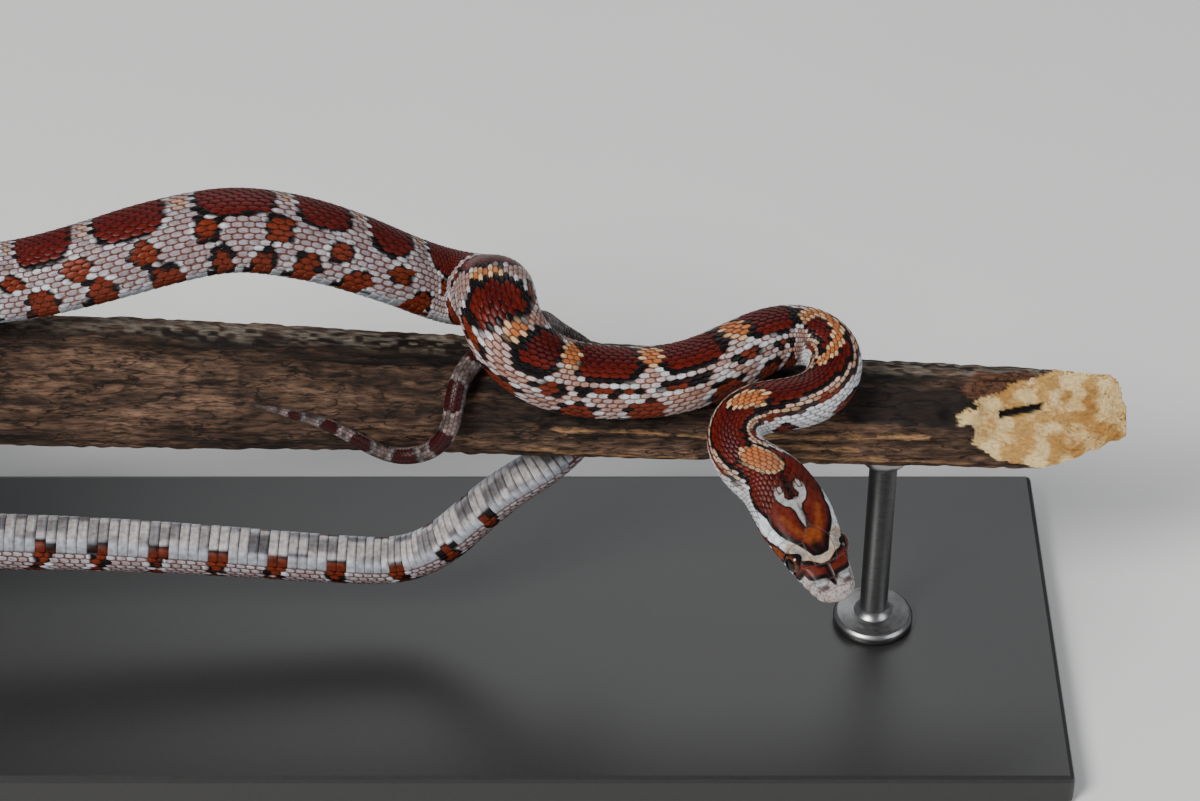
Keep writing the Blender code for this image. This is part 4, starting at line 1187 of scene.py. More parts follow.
class SNAKE_OT_skin(bpy.types.Operator):
    """One skin from the snout to the tail's tip, inside the scales"""
    bl_idname = "snake.skin"
    bl_label = "Skin"

    def execute(self, context):
        sizes, colours = context.scene.snake_sizes, context.scene.snake_colours
        sides = sizes.skin_sides
        places = np.concatenate([[0.45, 0.8, 1.3, 2.0], np.arange(2.8, SNAKE.total - 0.8, sizes.skin_step / MM)])
        turns = np.arange(sides) * 360.0 / sides - 180.0
        at, turn = np.meshgrid(places, turns, indexing="ij")
        deep = sizes.coat_depth / MM * coat_lift(at)
        deep = deep + 0.35 * (1 - smooth(23.0, 26.0, at)) * smooth(0.4, 3.0, at)
        points = SNAKE.points(at, turn, -deep)
        caps = np.stack([points[0].mean(axis=0), points[-1].mean(axis=0)])
        count = len(places) * sides
        faces = tube_faces(len(places), sides, count, count + 1)
        mesh = mesh_from("skin", np.concatenate([points.reshape(-1, 3), caps]), faces)
        own = paint(at, turn, colours)
        pale = own.mean(axis=-1, keepdims=True) > 0.16
        under = np.where(pale, own * 0.35 + 0.65 * np.array(colours.ground_line), own * 0.35)
        under = np.concatenate([under.reshape(-1, 3), under[0, :1], under[-1, :1]])
        add_colour(mesh, "Paint", under)
        heights = 0.01 + 0.98 * places / SNAKE.total
        add_map(mesh, "OFBake", tube_map(len(places), sides, heights))
        material = scale_material("skin_between_scales", 0.50, rim=False)
        piece = new_piece("skin", mesh, material)
        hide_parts(*FLESH)
        return {'FINISHED'}


class SNAKE_OT_back_scales(bpy.types.Operator):
    """Overlapping scales of the back and flanks, joined by length of body"""
    bl_idname = "snake.back_scales"
    bl_label = "Back and flank scales"

    def execute(self, context):
        sizes, colours = context.scene.snake_sizes, context.scene.snake_colours
        shape = (PLATE_ALONG, PLATE_WIDTH, PLATE_RISE, PLATE_ACROSS)
        material = scale_material("back_scale", 0.36)
        lengths = [("neck", 14.0, 104.0), ("front", 104.0, 197.0), ("arch", 197.0, 338.0),
                   ("wrap", 338.0, 482.0), ("drop", 482.0, 620.0), ("swag", 620.0, VENT),
                   ("tail", VENT, SCALES_END)]
        for name, start, end in lengths:
            at, turn, half, length = back_rows(sizes, start, end)
            if start < SHIELDS_END:
                throat = throat_rows(sizes, 7.0, SCUTES_FROM + 1.0)
                at, turn, half, length = (np.concatenate(pair) for pair in zip((at, turn, half, length), throat))
                keep = behind_shields(at, turn, length)
                at, turn, half, length = at[keep], turn[keep], half[keep], length[keep]
            lift = sizes.coat_depth / MM * coat_lift(at)
            plates("scales_" + name, (at, turn), (length, half), lift, shape, colours, material,
                   (start, end))
        return {'FINISHED'}


class SNAKE_OT_belly_scutes(bpy.types.Operator):
    """Broad scutes of the belly, and the pairs under the tail"""
    bl_idname = "snake.belly_scutes"
    bl_label = "Belly scutes"

    def execute(self, context):
        sizes, colours = context.scene.snake_sizes, context.scene.snake_colours
        halves, at, pace = scale_beats(sizes)
        places = halves[::2]
        along = np.array([0.0, 0.30, 0.62, 0.86, 1.0])
        rise = np.array([-1.0, -0.50, -0.16, -0.02, -0.05])
        across = np.linspace(-1, 1, 17)
        belly = places[(places > SCUTES_FROM) & (places < VENT)]
        length = np.interp(belly, at, pace) * 1.42
        edge = table(BELLY_EDGE, belly)
        shape = (along, np.array([0.99, 1.0, 1.0, 1.0, 0.97]), rise, across)
        lift = sizes.coat_depth / MM * coat_lift(belly)
        material = belly_material(colours)
        piece = plates("belly_scutes", (belly, np.full(len(belly), 180.0)), (length, 180.0 - edge + 2.5),
                       lift * 0.9, shape, colours, material, (SCUTES_FROM, VENT))
        paint_belly(piece.data, belly, across, along, colours)

        tail = places[(places >= VENT) & (places < SCALES_END)]
        length = np.interp(tail, at, pace) * 1.42
        edge = table(BELLY_EDGE, tail)
        both_at = np.concatenate([tail, tail])
        both_turn = np.concatenate([180.0 - (180.0 - edge) / 2, 180.0 + (180.0 - edge) / 2])
        half = np.concatenate([(180.0 - edge) / 2] * 2) * 1.03
        shape = (along, np.array([0.9, 1.0, 1.0, 0.92, 0.70]), rise, np.linspace(-1, 1, 7))
        plates("tail_scutes", (both_at, both_turn), (np.concatenate([length] * 2), half),
               sizes.coat_depth / MM * coat_lift(both_at) * 0.9, shape, colours, material,
               (VENT, SCALES_END))
        return {'FINISHED'}


def paint_belly(mesh, places, across, along, colours):
    """White scutes with blue-black checks in the middle and rust at their ends."""
    draw = np.random.RandomState(SEED + 3)
    count = len(places)
    cells = 5
    dark = np.zeros((count, cells))
    for column in range(cells):
        row = draw.randint(0, 5)
        while row < count:
            run = draw.randint(1, 4)
            dark[row:row + run, column] = 0.45 + 0.5 * draw.rand()
            row += run + draw.randint(2, 6)
    dark *= smooth(60, 150, places)[:, None]
    wander = 0.30 * (draw.rand(count, 1) - 0.5)
    place = np.clip(((across[None, :] * 0.92 + 1) / 2 + wander / cells) * cells - 0.5, 0, cells - 1.001)
    before = np.floor(place).astype(int)
    rows = np.arange(count)[:, None]
    turned = smooth(0.30, 0.70, place - before)
    share = dark[rows, before] * (1 - turned) + dark[rows, before + 1] * turned
    share = share * (1 - smooth(0.42, 0.54, np.abs(across)))[None, :]
    tone = 0.90 + 0.18 * draw.rand(count, 1)
    own = np.array(colours.belly) * tone[..., None] * np.ones((count, len(across), 1))
    own = mixed(own, np.array(colours.ground) * (1.0, 0.93, 0.90), 0.5 * smooth(0.45, 0.9, np.abs(across))[None, :]
                * np.ones((count, 1)))
    turn = 180.0 + across[None, :] * 68.0
    ends = body_paint(np.broadcast_to(places[:, None], share.shape).astype(float),
                      np.broadcast_to(turn, share.shape).astype(float), colours)
    own = mixed(own, ends, smooth(0.36, 0.50, np.abs(across))[None, :] * np.ones((count, 1)))
    own = mixed(own, colours.checker, 0.92 * share)
    own = np.broadcast_to(own[:, None], (count, len(along), len(across), 3))
    line = own * 0.62
    flat = own.reshape(count, -1, 3)
    rim = line.reshape(count, -1, 3)
    for name, values in (("Paint", flat), ("Rim", rim)):
        rgba = np.ones((count, values.shape[1] + 1, 4), np.float32)
        rgba[:, :-1, :3] = values
        rgba[:, -1, :3] = values[:, 0]
        mesh.color_attributes[name].data.foreach_set("color", rgba.ravel())


def belly_material(colours):
    return scale_material("belly_scute", 0.34)


class SNAKE_OT_head_shields(bpy.types.Operator):
    """Shields of the head with their seams, lips, nostrils and eye rings"""
    bl_idname = "snake.head_shields"
    bl_label = "Head shields"

    def execute(self, context):
        sizes, colours = context.scene.snake_sizes, context.scene.snake_colours
        sides = sizes.head_sides
        turns = np.arange(sides) * 360.0 / sides - 180.0
        body = np.concatenate([[0.0, 0.08, 0.18, 0.30], np.arange(0.42, SHIELDS_END, sizes.head_step / MM)])
        cap = np.array([0.04, 0.18, 0.36, 0.54, 0.70, 0.84, 0.94])
        shrink = np.concatenate([cap, np.ones(len(body))])
        places = np.concatenate([-0.34 * (1 - cap ** 2) - 0.001, body])
        at, turn = np.meshgrid(places, turns, indexing="ij")
        near = np.clip(at, 0, None)
        seam, covered = shield_seams(np.where(at < 0, -0.5, at), turn)
        plate = -0.27 + 0.22 * smooth(0.02, 0.19, seam) + 0.05 * smooth(0.2, 1.8, seam)
        plate = np.where(covered, plate, -0.27 - 0.15 * smooth(0.0, 0.4, seam))
        plate = np.where(at < 0, -0.03, plate)

        down = np.abs(turn)
        from_lip = down - mouth_turn(near)
        lips = smooth(-26, -21, from_lip) * (1 - smooth(15, 19, from_lip)) * (1 - smooth(20, 22, near))
        plate = plate + 0.13 * lips * smooth(0.05, 0.75, seam) * smooth(0.8, 1.8, near)
        x, y = near, np.radians(down) * spread_radius(near)
        eye_y = math.radians(EYE_TURN) * float(spread_radius(np.array(EYE[1])))
        ring = np.hypot(x - EYE[1], y - eye_y)
        plate = np.where(ring < EYE_OPENING + 0.30, np.maximum(plate, -0.10), plate)
        plate = plate + 0.13 * (1 - smooth(0.0, 0.30, np.abs(ring - EYE_OPENING - 0.20)))
        plate = plate - 1.5 * (1 - smooth(EYE_OPENING - 0.14, EYE_OPENING + 0.04, ring))
        hole = np.hypot(x - NOSTRIL[0], y - math.radians(NOSTRIL[1]) * float(spread_radius(np.array(NOSTRIL[0]))))
        plate = plate - 0.75 * (1 - smooth(NOSTRIL[2] * 0.5, NOSTRIL[2] * 1.15, hole))
        gap = (down - mouth_turn(near)) * math.radians(1.0) * spread_radius(near)
        closed = 1 - smooth(MOUTH_BACK - 1.0, MOUTH_BACK, near)
        plate = plate - 0.50 * closed * np.exp(-(gap / 0.15) ** 2)
        plate = plate - 0.55 * smooth(SHIELDS_END - 0.9, SHIELDS_END, near)
        points = SNAKE.points(near, turn, plate * shrink[:, None], np.broadcast_to(shrink[:, None], at.shape))
        _, forward, _, _ = SNAKE.frames(np.array([0.0]))
        points = points + np.minimum(at, 0.0)[..., None] * MM * forward[0]

        caps = np.stack([points[0].mean(axis=0), points[-1].mean(axis=0)])
        count = len(places) * sides
        faces = tube_faces(len(places), sides, count, count + 1)
        mesh = mesh_from("head_shields", np.concatenate([points.reshape(-1, 3), caps]), faces)
        own = head_paint(near, turn, colours)
        line = 1 - smooth(0.03, 0.13, seam)
        pale = smooth(0.14, 0.24, own.mean(axis=-1))[..., None]
        seam_colour = (own * 0.60 + (0.075, 0.040, 0.040)) * (1 - pale) + (own * 0.35 + (0.06, 0.03, 0.02)) * pale
        own = mixed(own, seam_colour, 0.85 * line * (at >= 0))
        own = np.where((covered | (at < 0))[..., None], own, own * 0.5)
        # Black is painted into the closed mouth's slit, the nostrils, and the inside and edge of the eye openings.
        # This is painted shade in these openings.
        own = mixed(own, np.array(colours.margin), 0.9 * closed * np.exp(-(gap / 0.12) ** 2))
        own = mixed(own, np.array(colours.margin), 0.95 * (1 - smooth(NOSTRIL[2] * 0.5, NOSTRIL[2] * 1.1, hole)))
        own = mixed(own, np.array(colours.margin), 0.9 * (1 - smooth(EYE_OPENING, EYE_OPENING + 0.16, ring)))
        own = np.concatenate([own.reshape(-1, 3), own[0, :1], own[-1, :1]])
        add_colour(mesh, "Paint", own)
        heights = 0.02 + 0.96 * (places - places[0]) / (places[-1] - places[0])
        add_map(mesh, "OFBake", tube_map(len(places), sides, heights))
        new_piece("head_shields", mesh, scale_material("head_shield", 0.30, rim=False))
        return {'FINISHED'}


class SNAKE_OT_eyes(bpy.types.Operator):
    """Eyes under their clear brille"""
    bl_idname = "snake.eyes"
    bl_label = "Eyes"

    def execute(self, context):
        colours = context.scene.snake_colours
        material, tree, shader = new_material("eye_glass")
        own = node(tree, "ShaderNodeAttribute", (-500, 100))
        own.attribute_name = "Paint"
        streak = fine_noise(tree, (-500, -200), 4200.0)
        shade = ramp(tree, (-300, -200), [(0.3, (0.75, 0.72, 0.70)), (0.7, (1.2, 1.15, 1.1))])
        tint = mix_colour(tree, (-120, 60), 'MULTIPLY')
        tint.inputs["Factor"].default_value = 1.0
        tree.links.new(streak.outputs["Fac"], shade.inputs["Fac"])
        tree.links.new(own.outputs["Color"], tint.inputs["A"])
        tree.links.new(shade.outputs["Color"], tint.inputs["B"])
        tree.links.new(tint.outputs["Result"], shader.inputs["Base Color"])
        shader.inputs["Roughness"].default_value = 0.16
        shader.inputs["Specular IOR Level"].default_value = 0.15
        shader.inputs["Coat Weight"].default_value = 0.30
        shader.inputs["Coat Roughness"].default_value = 0.02
        for side, sign in (("left", -1.0), ("right", 1.0)):
            self.eyeball("eye_glass_" + side, sign, "eye_" + side, colours, material)
        return {'FINISHED'}

    @staticmethod
    def eyeball(name, sign, solid, colours, material):
        rings, sides = 40, 64
        away = np.linspace(0.02, math.pi - 0.05, rings)
        round_ = np.arange(sides) * 2 * math.pi / sides
        angle, spin = np.meshgrid(away, round_, indexing="ij")
        look = unit(np.array([sign * 0.94, 0.22, 0.20]))
        up = unit(np.array([0.0, 0.0, 1.0]) - look[2] * look)
        sideways = np.cross(look, up)
        ball = (np.cos(angle)[..., None] * look
                + np.sin(angle)[..., None] * (np.cos(spin)[..., None] * up + np.sin(spin)[..., None] * sideways))
        middle = np.array([sign * EYE[0], -EYE[1], EYE[2]])
        local = (middle + EYE_RADIUS * ball) * MM
        matrix = np.array(head_matrix())
        points = local.reshape(-1, 3) @ matrix[:3, :3].T + matrix[:3, 3]
        ends = np.stack([middle + EYE_RADIUS * look, middle - EYE_RADIUS * look]) * MM
        points = np.concatenate([points, ends @ matrix[:3, :3].T + matrix[:3, 3]])
        count = rings * sides
        quads, fans = tube_faces(rings, sides, count, count + 1)
        mesh = mesh_from(name, points, [quads, fans])
        degrees = np.degrees(angle)
        rays = 0.5 + 0.5 * np.sin(spin * 23 + 1.7 * np.sin(spin * 5)) * np.sin(spin * 41 + 0.8)
        iris = np.array(colours.iris) * (0.72 + 0.55 * rays)[..., None]
        own = mixed(iris, np.array(colours.iris) * (1.6, 2.0, 2.1), 1 - smooth(36, 39, degrees))
        own = mixed(own, np.array([0.002, 0.002, 0.0025]), 1 - smooth(34.0, 35.5, degrees))
        own = mixed(own, np.array(colours.margin), smooth(43, 54, degrees))
        add_colour(mesh, "Paint", np.concatenate([own.reshape(-1, 3), own[0, :1], own[-1, :1]]))
        add_map(mesh, "OFBake", tube_map(rings, sides, 0.02 + 0.96 * away / math.pi))
        piece = new_piece(name, mesh, material)
        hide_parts(solid)


def bark_share(along, turn):
    """Share of the full radius that the solid's weathered wood keeps."""
    waves = (np.sin(3 * turn + 24 * along + 1.3) + 0.7 * np.sin(5 * turn - 41 * along)
             + 0.6 * np.sin(2 * turn + 83 * along + 0.6) + 0.4 * np.sin(9 * turn + 12 * along))
    return 1.0 - BRANCH_DENTS * (0.5 + 0.5 * waves / 2.7)


def wood_cracks(along, turn):
    """Depth share of the long drying cracks: each wanders slowly round the branch."""
    draw = np.random.RandomState(SEED + 11)
    depth = np.zeros(np.broadcast(along, turn).shape)
    for _ in range(90):
        start, length = BRANCH_LEFT + 0.36 * draw.rand(), 0.012 + 0.10 * draw.rand() ** 2
        place, width, strong = 2 * math.pi * draw.rand(), 0.016 + 0.034 * draw.rand() ** 3, draw.rand()
        waves, pace = 0.05 * draw.rand() + 0.02, 40 + 140 * draw.rand()
        way = place + waves * np.sin(pace * (along - start)) + 0.4 * (along - start)
        apart = np.abs((turn - way + math.pi) % (2 * math.pi) - math.pi)
        share = (along - start) / length
        taper = np.clip(np.sin(math.pi * np.clip(share, 0, 1)), 0, 1) ** 0.5
        depth = np.maximum(depth, strong * taper * np.exp(-(apart / (width * (0.4 + 0.6 * taper))) ** 2))
    return depth


def wood_relief(along, turn):
    """Relief of the weathered wood, about 0 to 1: long irregular ridges and crumbling bark."""
    draw = np.random.RandomState(SEED + 12)
    x = along - BRANCH_LEFT
    ridges = np.zeros(np.broadcast(along, turn).shape)
    for per_metre, cells, weight in WOOD_GRAIN:
        ridges = ridges + weight * lattice(x * per_metre, turn / (2 * math.pi) * cells, 128, cells, draw)
    crumbs = lattice(x * 240, turn / (2 * math.pi) * 46, 128, 46, draw)
    flakes = lattice(x * 520, turn / (2 * math.pi) * 84, 256, 84, draw)
    return 0.5 + 1.6 * (ridges - 0.5), 1 - np.abs(2 * crumbs - 1), flakes


def wood_marks(along, turn):
    """Shares of bare tan grain, dark smooth bark, peeled inner bark and the knot at each place."""
    draw = np.random.RandomState(SEED + 13)
    x, degrees = along / MM, np.degrees((turn + math.pi) % (2 * math.pi) - math.pi)
    radius = branch_radius(0.03) / MM
    ragged = lattice(x * 0.35, degrees * 0.16, 251, 255, draw) + 0.5 * lattice(x * 1.2, degrees * 0.5, 509, 511, draw)

    def near(rows, low, high):
        share = np.zeros(x.shape)
        for row in rows:
            apart = capsule_distance(row, x, np.radians(degrees) * radius, radius)
            share = np.maximum(share, 1 - smooth(low, high, apart + 1.1 * (ragged - 0.75)))
        return share

    knot = np.hypot(x - KNOT[0], (np.radians(degrees - KNOT[1]) * radius)) / KNOT[2]
    return near(BARE_STREAKS, -0.1, 0.35), near([SMOOTH_DARK], -0.4, 1.4), near(PEELED, -0.3, 0.3), knot


class SNAKE_OT_perch(bpy.types.Operator):
    """Weathered length of branch, cracked along its grain and broken aslant"""
    bl_idname = "snake.perch"
    bl_label = "Branch"

    def execute(self, context):
        sizes, colours = context.scene.snake_sizes, context.scene.snake_colours
        sides = sizes.wood_sides
        places = np.arange(BRANCH_LEFT, BRANCH_RIGHT, sizes.wood_step)
        closing = np.linspace(0.94, 0.03, 18)
        places = np.concatenate([np.full(18, places[0]), places, np.full(18, places[-1])])
        shrink = np.concatenate([closing[::-1], np.ones(len(places) - 36), closing])[:, None]
        turns = np.arange(sides) * 2 * math.pi / sides
        along, turn = np.meshgrid(places, turns, indexing="ij")
        cracks = wood_cracks(along, turn)
        ridges, crumbs, flakes = wood_relief(along, turn)
        bare, dark, peeled, knot = wood_marks(along, turn)
        rough = 1 - 0.75 * dark - 0.5 * bare - 0.4 * peeled
        cracks = cracks * (1 - 0.9 * dark)
        out = branch_radius(along) * bark_share(along, turn)
        out = out - 0.0010 * cracks - 0.00075 * (1 - ridges) * (0.4 + 0.6 * rough)
        out = out - 0.00045 * rough * crumbs - 0.00022 * rough * flakes - 0.00035 * peeled
        out = out + 0.0003 * np.exp(-((knot - 1.2) / 0.3) ** 2) - 0.0012 * np.exp(-(knot / 0.7) ** 2)
        ragged = 0.5 + 0.5 * np.sin(turn * 5 + 1.0) * np.sin(turn * 11 + 2.0)
        left = 1 - smooth(BRANCH_LEFT, BRANCH_LEFT + 0.004 + 0.003 * ragged, along)
        out = out * (1 - 0.16 * left) * shrink
        axis = np.stack([along, 0 * along, -BRANCH_SLOPE * along], axis=-1) + np.array(BRANCH_ZERO)
        points = axis + out[..., None] * np.stack([0 * turn, -np.sin(turn), np.cos(turn)], axis=-1)
        points, broken, cream, rot = self.break_off(points)

        count = len(places) * sides
        caps = np.stack([axis[0, 0] + (0.0006, 0.0, 0.0), points[-1].mean(axis=0)])
        faces = tube_faces(len(places), sides, count, count + 1)
        mesh = mesh_from("branch_wood", np.concatenate([points.reshape(-1, 3), caps]), faces)
        black = np.maximum(smooth(0.25, 0.8, cracks), 0.85 * np.exp(-(knot / 0.9) ** 2))
        black = np.maximum(black * (1 - broken), rot)
        relief = np.clip(ridges - 0.25 * crumbs * rough + 0.12, 0, 1)
        up = np.degrees((turn + math.pi) % (2 * math.pi) - math.pi)
        grey = (1 - smooth(14, 34, np.abs(up + 24))) * smooth(0.35, 0.65, flakes)
        marks = {"Cracks": black, "Broken": broken, "Cream": cream, "Relief": relief, "Bare": bare,
                 "Dark": dark, "Peeled": peeled, "Grey": grey}
        for name, values in marks.items():
            add_number(mesh, name, np.concatenate([values.ravel(), values[0, :1], values[-1, :1]]))
        heights = np.linspace(0.01, 0.99, len(places))
        add_map(mesh, "OFBake", tube_map(len(places), sides, heights))
        piece = new_piece("branch_wood", mesh, self.material(colours))
        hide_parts("branch")
        return {'FINISHED'}

    @staticmethod
    def break_off(points):
        """Lays what is past the slanting break on its face: rough grain, a rotten slot, a lost corner."""
        draw = np.random.RandomState(SEED + 14)
        middle = (BREAK_FROM + BREAK_TO) / 2
        radius = branch_radius(middle)
        faces = math.radians(BREAK_FACES)
        towards = np.array([0.0, -math.sin(faces), math.cos(faces)])
        slope = unit(np.array([BREAK_TO - BREAK_FROM, 0.0, 0.0]) - towards * 2 * radius)
        across = np.cross([1.0, 0.0, 0.0], towards)
        normal = np.cross(slope, across)
        if normal @ towards < 0:
            normal, across = -normal, -across
        middle = branch_axis(middle)
        x = (points[..., 0] - BRANCH_ZERO[0]) / MM
        edge = CORNER_EDGE[1] + CORNER_EDGE[2] * np.maximum(x - CORNER_EDGE[0], 0.0)
        edge = np.where(x > CORNER_EDGE[0], edge, -99.0)
        edge = edge + 0.9 * (lattice(x * 0.7, 0 * x, 127, 7, draw) - 0.5)
        lost = np.maximum(edge * MM - (points - middle) @ across, 0.0)
        points = points + lost[..., None] * across

        height = (points - middle) @ normal
        down, up = (points - middle) @ slope / MM, (points - middle) @ across / MM
        broad = lattice(down * 0.10 + 40, up * 0.55 + 40, 97, 97, draw)
        grain = lattice(down * 0.45 + 60, up * 3.0 + 90, 193, 197, draw)
        fibre = lattice(down * 1.6 + 90, up * 5.0 + 150, 389, 397, draw)
        slot = capsule_distance(ROT_SLOT, x, up + 0.5 * (grain - 0.5), 180 / math.pi)
        rot = 1 - smooth(-0.15, 0.25, slot)
        face = -0.0011 + 0.0013 * broad + 0.00060 * grain + 0.00035 * fibre - 0.0012 * rot
        for place, level in PRONGS:
            face = face + 0.0011 * np.exp(-((x - place - 1.0) / 1.6) ** 2 - ((up - level) / 1.5) ** 2)
        over = np.maximum(height - face, 0.0)
        broken = smooth(-0.0001, 0.0003, height - face)
        bark = up - BARK_EDGE[1] - BARK_EDGE[2] * (x - BARK_EDGE[0]) + 2.6 * (fibre * 0.5 + broad - 0.75)
        broken = broken * (1 - smooth(-0.15, 0.15, bark) * (1 - smooth(108, 110, x)))
        patches = 0.7 * lattice(down * 0.30 + 40, up * 0.42 + 40, 101, 101, draw) + 0.3 * fibre
        cream = np.clip(smooth(0.38, 0.62, patches) + 0.7 * (1 - smooth(3.0, 8.0, x - 78 + 0.4 * np.abs(up))), 0, 1)
        return points - over[..., None] * normal, broken, cream, rot * (height > face)

    @staticmethod
    def material(colours):
        made, tree, shader = new_material("weathered_wood")
        links = tree.links

        def share(name, place):
            found = node(tree, "ShaderNodeAttribute", place)
            found.attribute_name = name
            return found.outputs["Fac"]

        def over(below, above, factor, place, blend='MIX'):
            made_mix = mix_colour(tree, place, blend)
            for value, socket in ((below, "A"), (above, "B"), (factor, "Factor")):
                if isinstance(value, bpy.types.NodeSocket):
                    links.new(value, made_mix.inputs[socket])
                else:
                    made_mix.inputs[socket].default_value = value
            return made_mix.outputs["Result"]

        def stops(source, place, rows):
            made_ramp = ramp(tree, place, rows)
            links.new(source, made_ramp.inputs["Fac"])
            return made_ramp.outputs["Color"]

        def times(colour, factor):
            return tuple(min(c * factor, 1.0) for c in colour)

        grain = fine_noise(tree, (-1600, 500), 95.0, (1.0, 5.0, 5.0), 9.0)
        grain.inputs["Roughness"].default_value = 0.68
        streaks = fine_noise(tree, (-1600, 200), 260.0, (1.0, 6.0, 6.0), 8.0)
        streaks.inputs["Roughness"].default_value = 0.70
        blots = fine_noise(tree, (-1600, -100), 60.0, (1.0, 1.8, 1.8), 5.0)
        level = tree.nodes.new("ShaderNodeMix")
        level.location = (-1360, 500)
        level.inputs["Factor"].default_value = 0.45
        links.new(grain.outputs["Fac"], level.inputs["A"])
        links.new(share("Relief", (-1600, 760)), level.inputs["B"])

        wood = tuple(colours.wood)
        body = stops(level.outputs["Result"], (-1160, 500),
                     [(0.30, tuple(colours.wood_dark)), (0.43, times(wood, 0.45)), (0.54, wood),
                      (0.70, times(wood, 2.0))])
        fine = stops(streaks.outputs["Fac"], (-1160, 200), [(0.40, (0.26, 0.23, 0.22)), (0.58, (1.34, 1.29, 1.24))])
        body = over(body, fine, 0.95, (-900, 400), 'MULTIPLY')
        patch = stops(blots.outputs["Fac"], (-1160, -100), [(0.38, (0.66, 0.60, 0.56)), (0.62, (1.25, 1.22, 1.20))])
        body = over(body, patch, 0.9, (-700, 360), 'MULTIPLY')
        veins = fine_noise(tree, (-1600, -400), 75.0, (1.0, 4.5, 4.5), 3.0)
        black_lines = stops(veins.outputs["Fac"], (-1160, -250),
                            [(0.478, (1.0, 1.0, 1.0)), (0.494, (0.12, 0.10, 0.09)), (0.506, (0.12, 0.10, 0.09)),
                             (0.522, (1.0, 1.0, 1.0))])
        body = over(body, black_lines, 0.85, (-600, 340), 'MULTIPLY')
        grey = over(tuple(colours.wood_grey) + (1.0,), fine, 0.9, (-900, 60), 'MULTIPLY')
        body = over(body, grey, share("Grey", (-900, -60)), (-500, 320))
        red = over(tuple(colours.wood_red) + (1.0,), fine, 0.95, (-900, -200), 'MULTIPLY')
        body = over(body, red, share("Peeled", (-900, -320)), (-300, 300))
        black = over(times(colours.wood_dark, 1.9) + (1.0,), patch, 0.8, (-700, -200), 'MULTIPLY')
        black = over(black, fine, 0.7, (-620, -240), 'MULTIPLY')
        black = over(black, black_lines, 0.8, (-560, -260), 'MULTIPLY')
        body = over(body, black, share("Dark", (-700, -320)), (-100, 280))
        tan = over(tuple(colours.wood_tan) + (1.0,), fine, 0.9, (-500, -200), 'MULTIPLY')
        body = over(body, tan, share("Bare", (-500, -320)), (100, 260))

        pale, cream = tuple(colours.wood_pale), tuple(colours.wood_cream)
        face = stops(streaks.outputs["Fac"], (-1160, -400),
                     [(0.34, times(pale, 0.55)), (0.47, times(pale, 0.9)), (0.66, times(pale, 1.15))])
        light = stops(streaks.outputs["Fac"], (-1160, -640), [(0.34, times(cream, 0.6)), (0.50, cream)])
        face = over(face, light, share("Cream", (-900, -640)), (-300, -400))
        stain = stops(blots.outputs["Fac"], (-900, -860), [(0.40, (0.80, 0.70, 0.58)), (0.56, (1.0, 1.0, 1.0))])
        face = over(face, stain, 1.0, (-100, -400), 'MULTIPLY')
        body = over(body, face, share("Broken", (-100, -600)), (300, 200))
        body = over(body, times(colours.wood_dark, 0.6) + (1.0,), share("Cracks", (100, -600)), (500, 160))
        links.new(body, shader.inputs["Base Color"])
        rough = stops(streaks.outputs["Fac"], (300, -300), [(0.3, (0.70,) * 3), (0.7, (0.92,) * 3)])
        links.new(rough, shader.inputs["Roughness"])
        coarse = node(tree, "ShaderNodeBump", (500, -300), Strength=0.75, Distance=0.0007)
        links.new(grain.outputs["Fac"], coarse.inputs["Height"])
        bump = node(tree, "ShaderNodeBump", (700, -300), Strength=0.7, Distance=0.00035)
        links.new(streaks.outputs["Fac"], bump.inputs["Height"])
        links.new(coarse.outputs["Normal"], bump.inputs["Normal"])
        links.new(bump.outputs["Normal"], shader.inputs["Normal"])
        shader.inputs["Specular IOR Level"].default_value = 0.22
        return made


